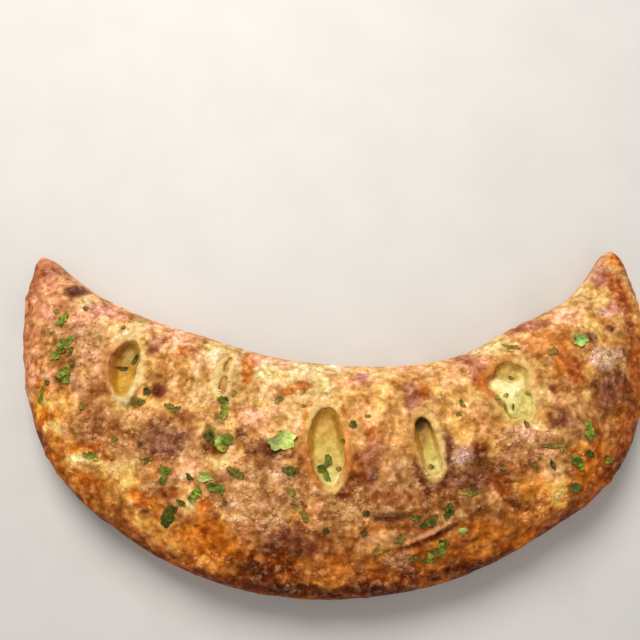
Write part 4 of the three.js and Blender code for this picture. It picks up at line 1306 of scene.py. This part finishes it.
def make_leaves(tree, rng):
    shapes, colours, veins = [], [], []
    for tone, rows in LEAVES.items():
        for x, y, length, width, turn in rows:
            large = tone == "pale" and length > 8
            pieces = 1 if length < 4 or tone in LEAF_CURLS else 2 if length < 6 else 3
            for piece in range(pieces):
                share = 1.05 if pieces == 1 else 0.76
                away = 0 if pieces == 1 else 0.3
                angle = math.radians(turn) + (0 if piece == 0 else rng.normal(0, 0.9))
                px = x + (piece - (pieces - 1) / 2) * away * length * math.cos(math.radians(turn))
                py = y + (piece - (pieces - 1) / 2) * away * length * math.sin(math.radians(turn))
                points, faces, out = solid_leaf(length * share, width * share * rng.uniform(0.85, 1.15), rng,
                                               LEAF_CURLS.get(tone, 1.0), 1.35 if large else 1.0)
                across = points[:, :1] * [math.cos(angle), math.sin(angle)]
                plan = across + points[:, 1:2] * [-math.sin(angle), math.cos(angle)] + [px, py]
                ground = np.array([height_under(tree, px, py) for px, py in plan])
                if np.isnan(ground).any():
                    continue
                lift = points[:, 2] - points[:, 2].min() + LEAF_CLEARANCE
                shapes.append((np.column_stack([plan, ground + lift]), faces))
                # Each leaf lighter on one side and darker on the other: painted light and shade.
                painted_side_light = 1 + 0.4 * np.tanh(points @ rng.normal(0, 0.5, 3))
                painted_side_light = painted_side_light + rng.normal(0, 0.08, len(points))
                light = rng.uniform(1.0, 1.35) if tone == "pale" else rng.uniform(0.65, 1.35)
                colour = to_linear(LEAF_TONES[tone]) * light * [rng.uniform(0.8, 1.15), 1, 1]
                colours.append(colour * np.clip(painted_side_light, 0.4, 1.8)[:, None])
                veins.append(out)
    leaves = mesh_object("parsley_leaves", *join(shapes))
    write_colour(leaves.data, "tone", np.clip(np.concatenate(colours), 0, 1))
    write_value(leaves.data, "out", np.concatenate(veins))
    shade_smooth(leaves)
    leaves.data.set_sharp_from_angle(angle=math.radians(50))
    return leaves


# ======================= Materials =======================

class Nodes:
    """A material's node tree, built up by calls that each return an output socket."""

    def __init__(self, name):
        self.material = bpy.data.materials.new(name)
        self.material.use_nodes = True
        self.tree = self.material.node_tree
        self.shader = self.tree.nodes["Principled BSDF"]

    def add(self, kind, inputs=(), out=0, **settings):
        node = self.tree.nodes.new(kind)
        for key, value in settings.items():
            setattr(node, key, value)
        for key, value in dict(inputs).items():
            self.put(node.inputs[key], value)
        return node.outputs[out]

    def put(self, socket, value):
        if isinstance(value, bpy.types.NodeSocket):
            self.tree.links.new(value, socket)
        else:
            socket.default_value = float(value) if isinstance(value, np.floating) else value

    def position(self):
        return self.add("ShaderNodeTexCoord", out="Object")

    def noise(self, size, detail=3.0, roughness=0.55):
        """Noise from 0 to 1 whose features are about size millimetres."""
        inputs = {"Vector": self.position(), "Scale": 1 / (size * MM)}
        inputs.update({"Detail": detail, "Roughness": roughness})
        return self.add("ShaderNodeTexNoise", inputs)

    def cells(self, size, out):
        """Cells about size millimetres across: their Color or the Distance from their middles."""
        inputs = {"Vector": self.position(), "Scale": 1 / (size * MM)}
        return self.add("ShaderNodeTexVoronoi", inputs, out=out, feature="F1")

    def math(self, operation, a, b=0.0, c=0.0, clamp=False):
        return self.add("ShaderNodeMath", {0: a, 1: b, 2: c}, operation=operation, use_clamp=clamp)

    def span(self, value, low, high, to_low=0.0, to_high=1.0):
        inputs = {"Value": value, "From Min": low, "From Max": high, "To Min": to_low, "To Max": to_high}
        return self.add("ShaderNodeMapRange", inputs, interpolation_type="SMOOTHSTEP")

    def attribute(self, name, out="Fac"):
        return self.add("ShaderNodeAttribute", attribute_name=name, out=out)

    def mix(self, share, a, b, blend_type="MIX"):
        node = self.tree.nodes.new("ShaderNodeMix")
        node.data_type, node.blend_type = "RGBA", blend_type
        self.put(node.inputs[0], share)
        self.put(node.inputs[6], a)
        self.put(node.inputs[7], b)
        return node.outputs[2]

    def tint(self, colour, value):
        """colour times a value, brighter where the value is over 1."""
        return self.add("ShaderNodeVectorMath", {0: colour, 3: value}, operation="SCALE")

    def baked(self, colour, light):
        """colour made lighter or darker as baking does it, as bake() does for points."""
        powers = [self.math("POWER", light, power) for power in BAKE_POWERS]
        factors = self.add("ShaderNodeCombineXYZ", dict(enumerate(powers)))
        return self.add("ShaderNodeVectorMath", {0: colour, 1: factors}, operation="MULTIPLY")

    def bump(self, height, strength, distance, normal=None):
        inputs = {"Height": height, "Strength": strength, "Distance": distance * MM}
        if normal is not None:
            inputs["Normal"] = normal
        return self.add("ShaderNodeBump", inputs)

    def finish(self, **sockets):
        for name, value in sockets.items():
            self.put(self.shader.inputs[name.replace("_", " ")], value)
        return self.material


def rgba(colour):
    return (*to_linear(colour), 1.0)


def crust_material():
    n = Nodes("baked crust")
    toast = n.attribute("toast", "Color")
    powder = n.attribute("powder")
    plain = n.math("SUBTRACT", 1.0, n.attribute("wall"), clamp=True)
    grain = n.add("ShaderNodeSeparateColor", {"Color": n.cells(1.9, "Color")}, out="Red")
    gap = n.cells(1.9, "Distance")
    fine = n.noise(0.9, 3.0, 0.55)
    coarse = n.noise(3.2, 2.0, 0.5)
    dot = n.math("MULTIPLY", n.span(gap, 0.75, 0.1), n.math("ADD", grain, 0.2))
    change = n.math("MULTIPLY", n.math("SUBTRACT", coarse, 0.5), 1.9)
    change = n.math("ADD", change, n.math("MULTIPLY", n.math("SUBTRACT", dot, 0.3), 0.42))
    change = n.math("ADD", change, n.math("MULTIPLY", n.math("SUBTRACT", fine, 0.5), 0.12))
    strength = n.math("ADD", n.math("MULTIPLY", plain, 0.65), 0.25)
    light = n.math("MAXIMUM", n.math("ADD", n.math("MULTIPLY", change, strength), 1.0), 0.2)
    colour = n.baked(toast, light)
    crumb = n.span(n.math("ADD", n.noise(1.5, 2.0, 0.5), n.math("MULTIPLY", powder, 0.12)), 0.58, 0.72)
    crumb = n.math("MULTIPLY", crumb, n.math("MULTIPLY", plain, 0.16))
    colour = n.mix(crumb, colour, rgba(CRUST_CRUMB_TONE))
    rough = n.span(n.noise(5.0, 2.0), 0.3, 0.7, 0.38, 0.62)
    normal = n.bump(n.math("SUBTRACT", 1.0, gap), n.math("MULTIPLY", plain, 0.2), 0.3)
    normal = n.bump(fine, 0.1, 0.2, normal)
    normal = n.bump(coarse, 0.6, 1.2, normal)
    return n.finish(Base_Color=colour, Roughness=rough, Normal=normal, Specular_IOR_Level=0.1, IOR=1.3,
                    Subsurface_Weight=0.05, Subsurface_Radius=(1.0, 0.5, 0.25), Subsurface_Scale=1.2 * MM)


def cheese_material():
    n = Nodes("melted cheese")
    tone = n.attribute("tone", "Color")
    colour = n.baked(tone, n.span(n.noise(2.4, 4.0, 0.6), 0.25, 0.75, 0.82, 1.12))
    # Small pale spots mixed into the cheese: painted highlight.
    colour = n.mix(n.span(n.noise(1.6, 2.0), 0.6, 0.75, 0.0, 0.15), colour, rgba(CHEESE_PAINTED_HIGHLIGHT_TONE))
    normal = n.bump(n.noise(2.2, 3.0), 0.3, 0.4)
    return n.finish(Base_Color=colour, Roughness=n.span(n.noise(4.0), 0.3, 0.7, 0.42, 0.58), Normal=normal,
                    Specular_IOR_Level=0.22, Subsurface_Weight=0.1,
                    Subsurface_Radius=(1.0, 0.75, 0.35), Subsurface_Scale=3 * MM)


def crumb_material(name):
    n = Nodes(name)
    colour = n.tint(n.attribute("tone", "Color"), n.span(n.noise(0.6, 2.0), 0.2, 0.8, 0.85, 1.15))
    return n.finish(Base_Color=colour, Roughness=n.span(n.noise(0.8), 0.3, 0.7, 0.45, 0.7),
                    Normal=n.bump(n.noise(0.35, 2.0), 0.4, 0.15), Specular_IOR_Level=0.15)


def leaf_material():
    n = Nodes("parsley")
    tone = n.attribute("tone", "Color")
    out = n.attribute("out")
    colour = n.tint(tone, n.span(n.noise(1.4, 4.0, 0.65), 0.25, 0.75, 0.6, 1.45))
    # Darker toward each leaf's rim: painted shade.
    colour = n.mix(n.math("MULTIPLY", n.span(out, 0.8, 1.0), 0.12), colour, rgba(LEAF_EDGE_SHADE_TONE))
    return n.finish(Base_Color=colour, Roughness=n.span(n.noise(2.0), 0.3, 0.7, 0.35, 0.55),
                    Normal=n.bump(n.noise(0.8, 3.0), 0.6, 0.25), Specular_IOR_Level=0.2)


def floor_material():
    n = Nodes("pale floor")
    colour = n.mix(n.span(n.noise(40, 2.0), 0.3, 0.7), rgba(FLOOR_TONES[0]), rgba(FLOOR_TONES[1]))
    return n.finish(Base_Color=colour, Roughness=0.6)


# ======================= Stage =======================

def make_camera():
    data = bpy.data.cameras.new("camera")
    data.lens, data.sensor_width = CAMERA_LENS, SENSOR_WIDTH
    camera = bpy.data.objects.new("camera", data)
    camera.location = CAMERA_AT * MM
    camera.rotation_euler = (math.radians(CAMERA_TILT), 0, 0)
    data.clip_start = CAMERA_CLIP
    bpy.context.scene.collection.objects.link(camera)
    bpy.context.scene.camera = camera


def make_light(name, place, size, power, colour):
    data = bpy.data.lights.new(name, "AREA")
    data.shape, data.size, data.energy, data.color = "DISK", size, power, colour
    light = bpy.data.objects.new(name, data)
    light.location = place
    light.rotation_euler = (Vector(LIT_PLACE) - Vector(place)).to_track_quat("-Z", "Y").to_euler()
    bpy.context.scene.collection.objects.link(light)


def make_stage():
    half = FLOOR_HALF
    corners = np.array([[-half, -half, 0], [half, -half, 0], [half, half, 0], [-half, half, 0]])
    floor = mesh_object("floor", corners / MM, [[0, 1, 2, 3]])
    floor.location.z = -FLOOR_DROP
    floor.data.materials.append(floor_material())
    make_light("key", **KEY_LIGHT)
    make_light("fill", **FILL_LIGHT)
    world = bpy.data.worlds.new("studio")
    world.use_nodes = True
    background = world.node_tree.nodes["Background"]
    background.inputs["Color"].default_value = SKY_TONE
    background.inputs["Strength"].default_value = SKY_STRENGTH
    bpy.context.scene.world = world
    bpy.context.scene.view_settings.view_transform = "Standard"


def tree_of(*things):
    points, faces = [], []
    for thing in things:
        start = len(points)
        points.extend(v.co.copy() for v in thing.data.vertices)
        faces.extend([v + start for v in face.vertices] for face in thing.data.polygons)
    return BVHTree.FromPolygons(points, faces)


make_camera()
make_stage()
noise = Noise(SEED)

crust = make_crust(noise)
paint_crust(crust, noise)
crust.data.materials.append(crust_material())

filling = make_filling(noise)
paint_filling(filling, noise)
filling.data.materials.append(cheese_material())

rng = np.random.default_rng(SEED)
powder = np.empty(len(crust.data.vertices), np.float32)
crust.data.attributes["powder"].data.foreach_get("value", powder)
places = read_points(crust.data) / MM
clumps = (0.15 + smooth(noise(places, 9, 2), -0.5, 0.6)) * smooth(grit(places, noise), -0.1, 0.6)
pale_crumbs = make_crumbs("crumbs_pale", crust, powder * clumps, rng, **PALE_CRUMBS)
pale_crumbs.data.materials.append(crumb_material("pale crumbs"))
toasted_crumbs = make_crumbs("crumbs_toasted", crust, powder ** 2 * clumps, rng, **TOASTED_CRUMBS)
toasted_crumbs.data.materials.append(crumb_material("toasted crumbs"))

leaves = make_leaves(tree_of(crust, filling), rng)
leaves.data.materials.append(leaf_material())

for piece, node, slot in (
    (crust, "crust", "baked_crust"),
    (filling, "cheese_filling", "melted_cheese"),
    (pale_crumbs, "crust", "grated_cheese"),
    (toasted_crumbs, "crust", "grated_cheese"),
    (leaves, "crust", "parsley"),
):
    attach(piece, "root")
    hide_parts(node)
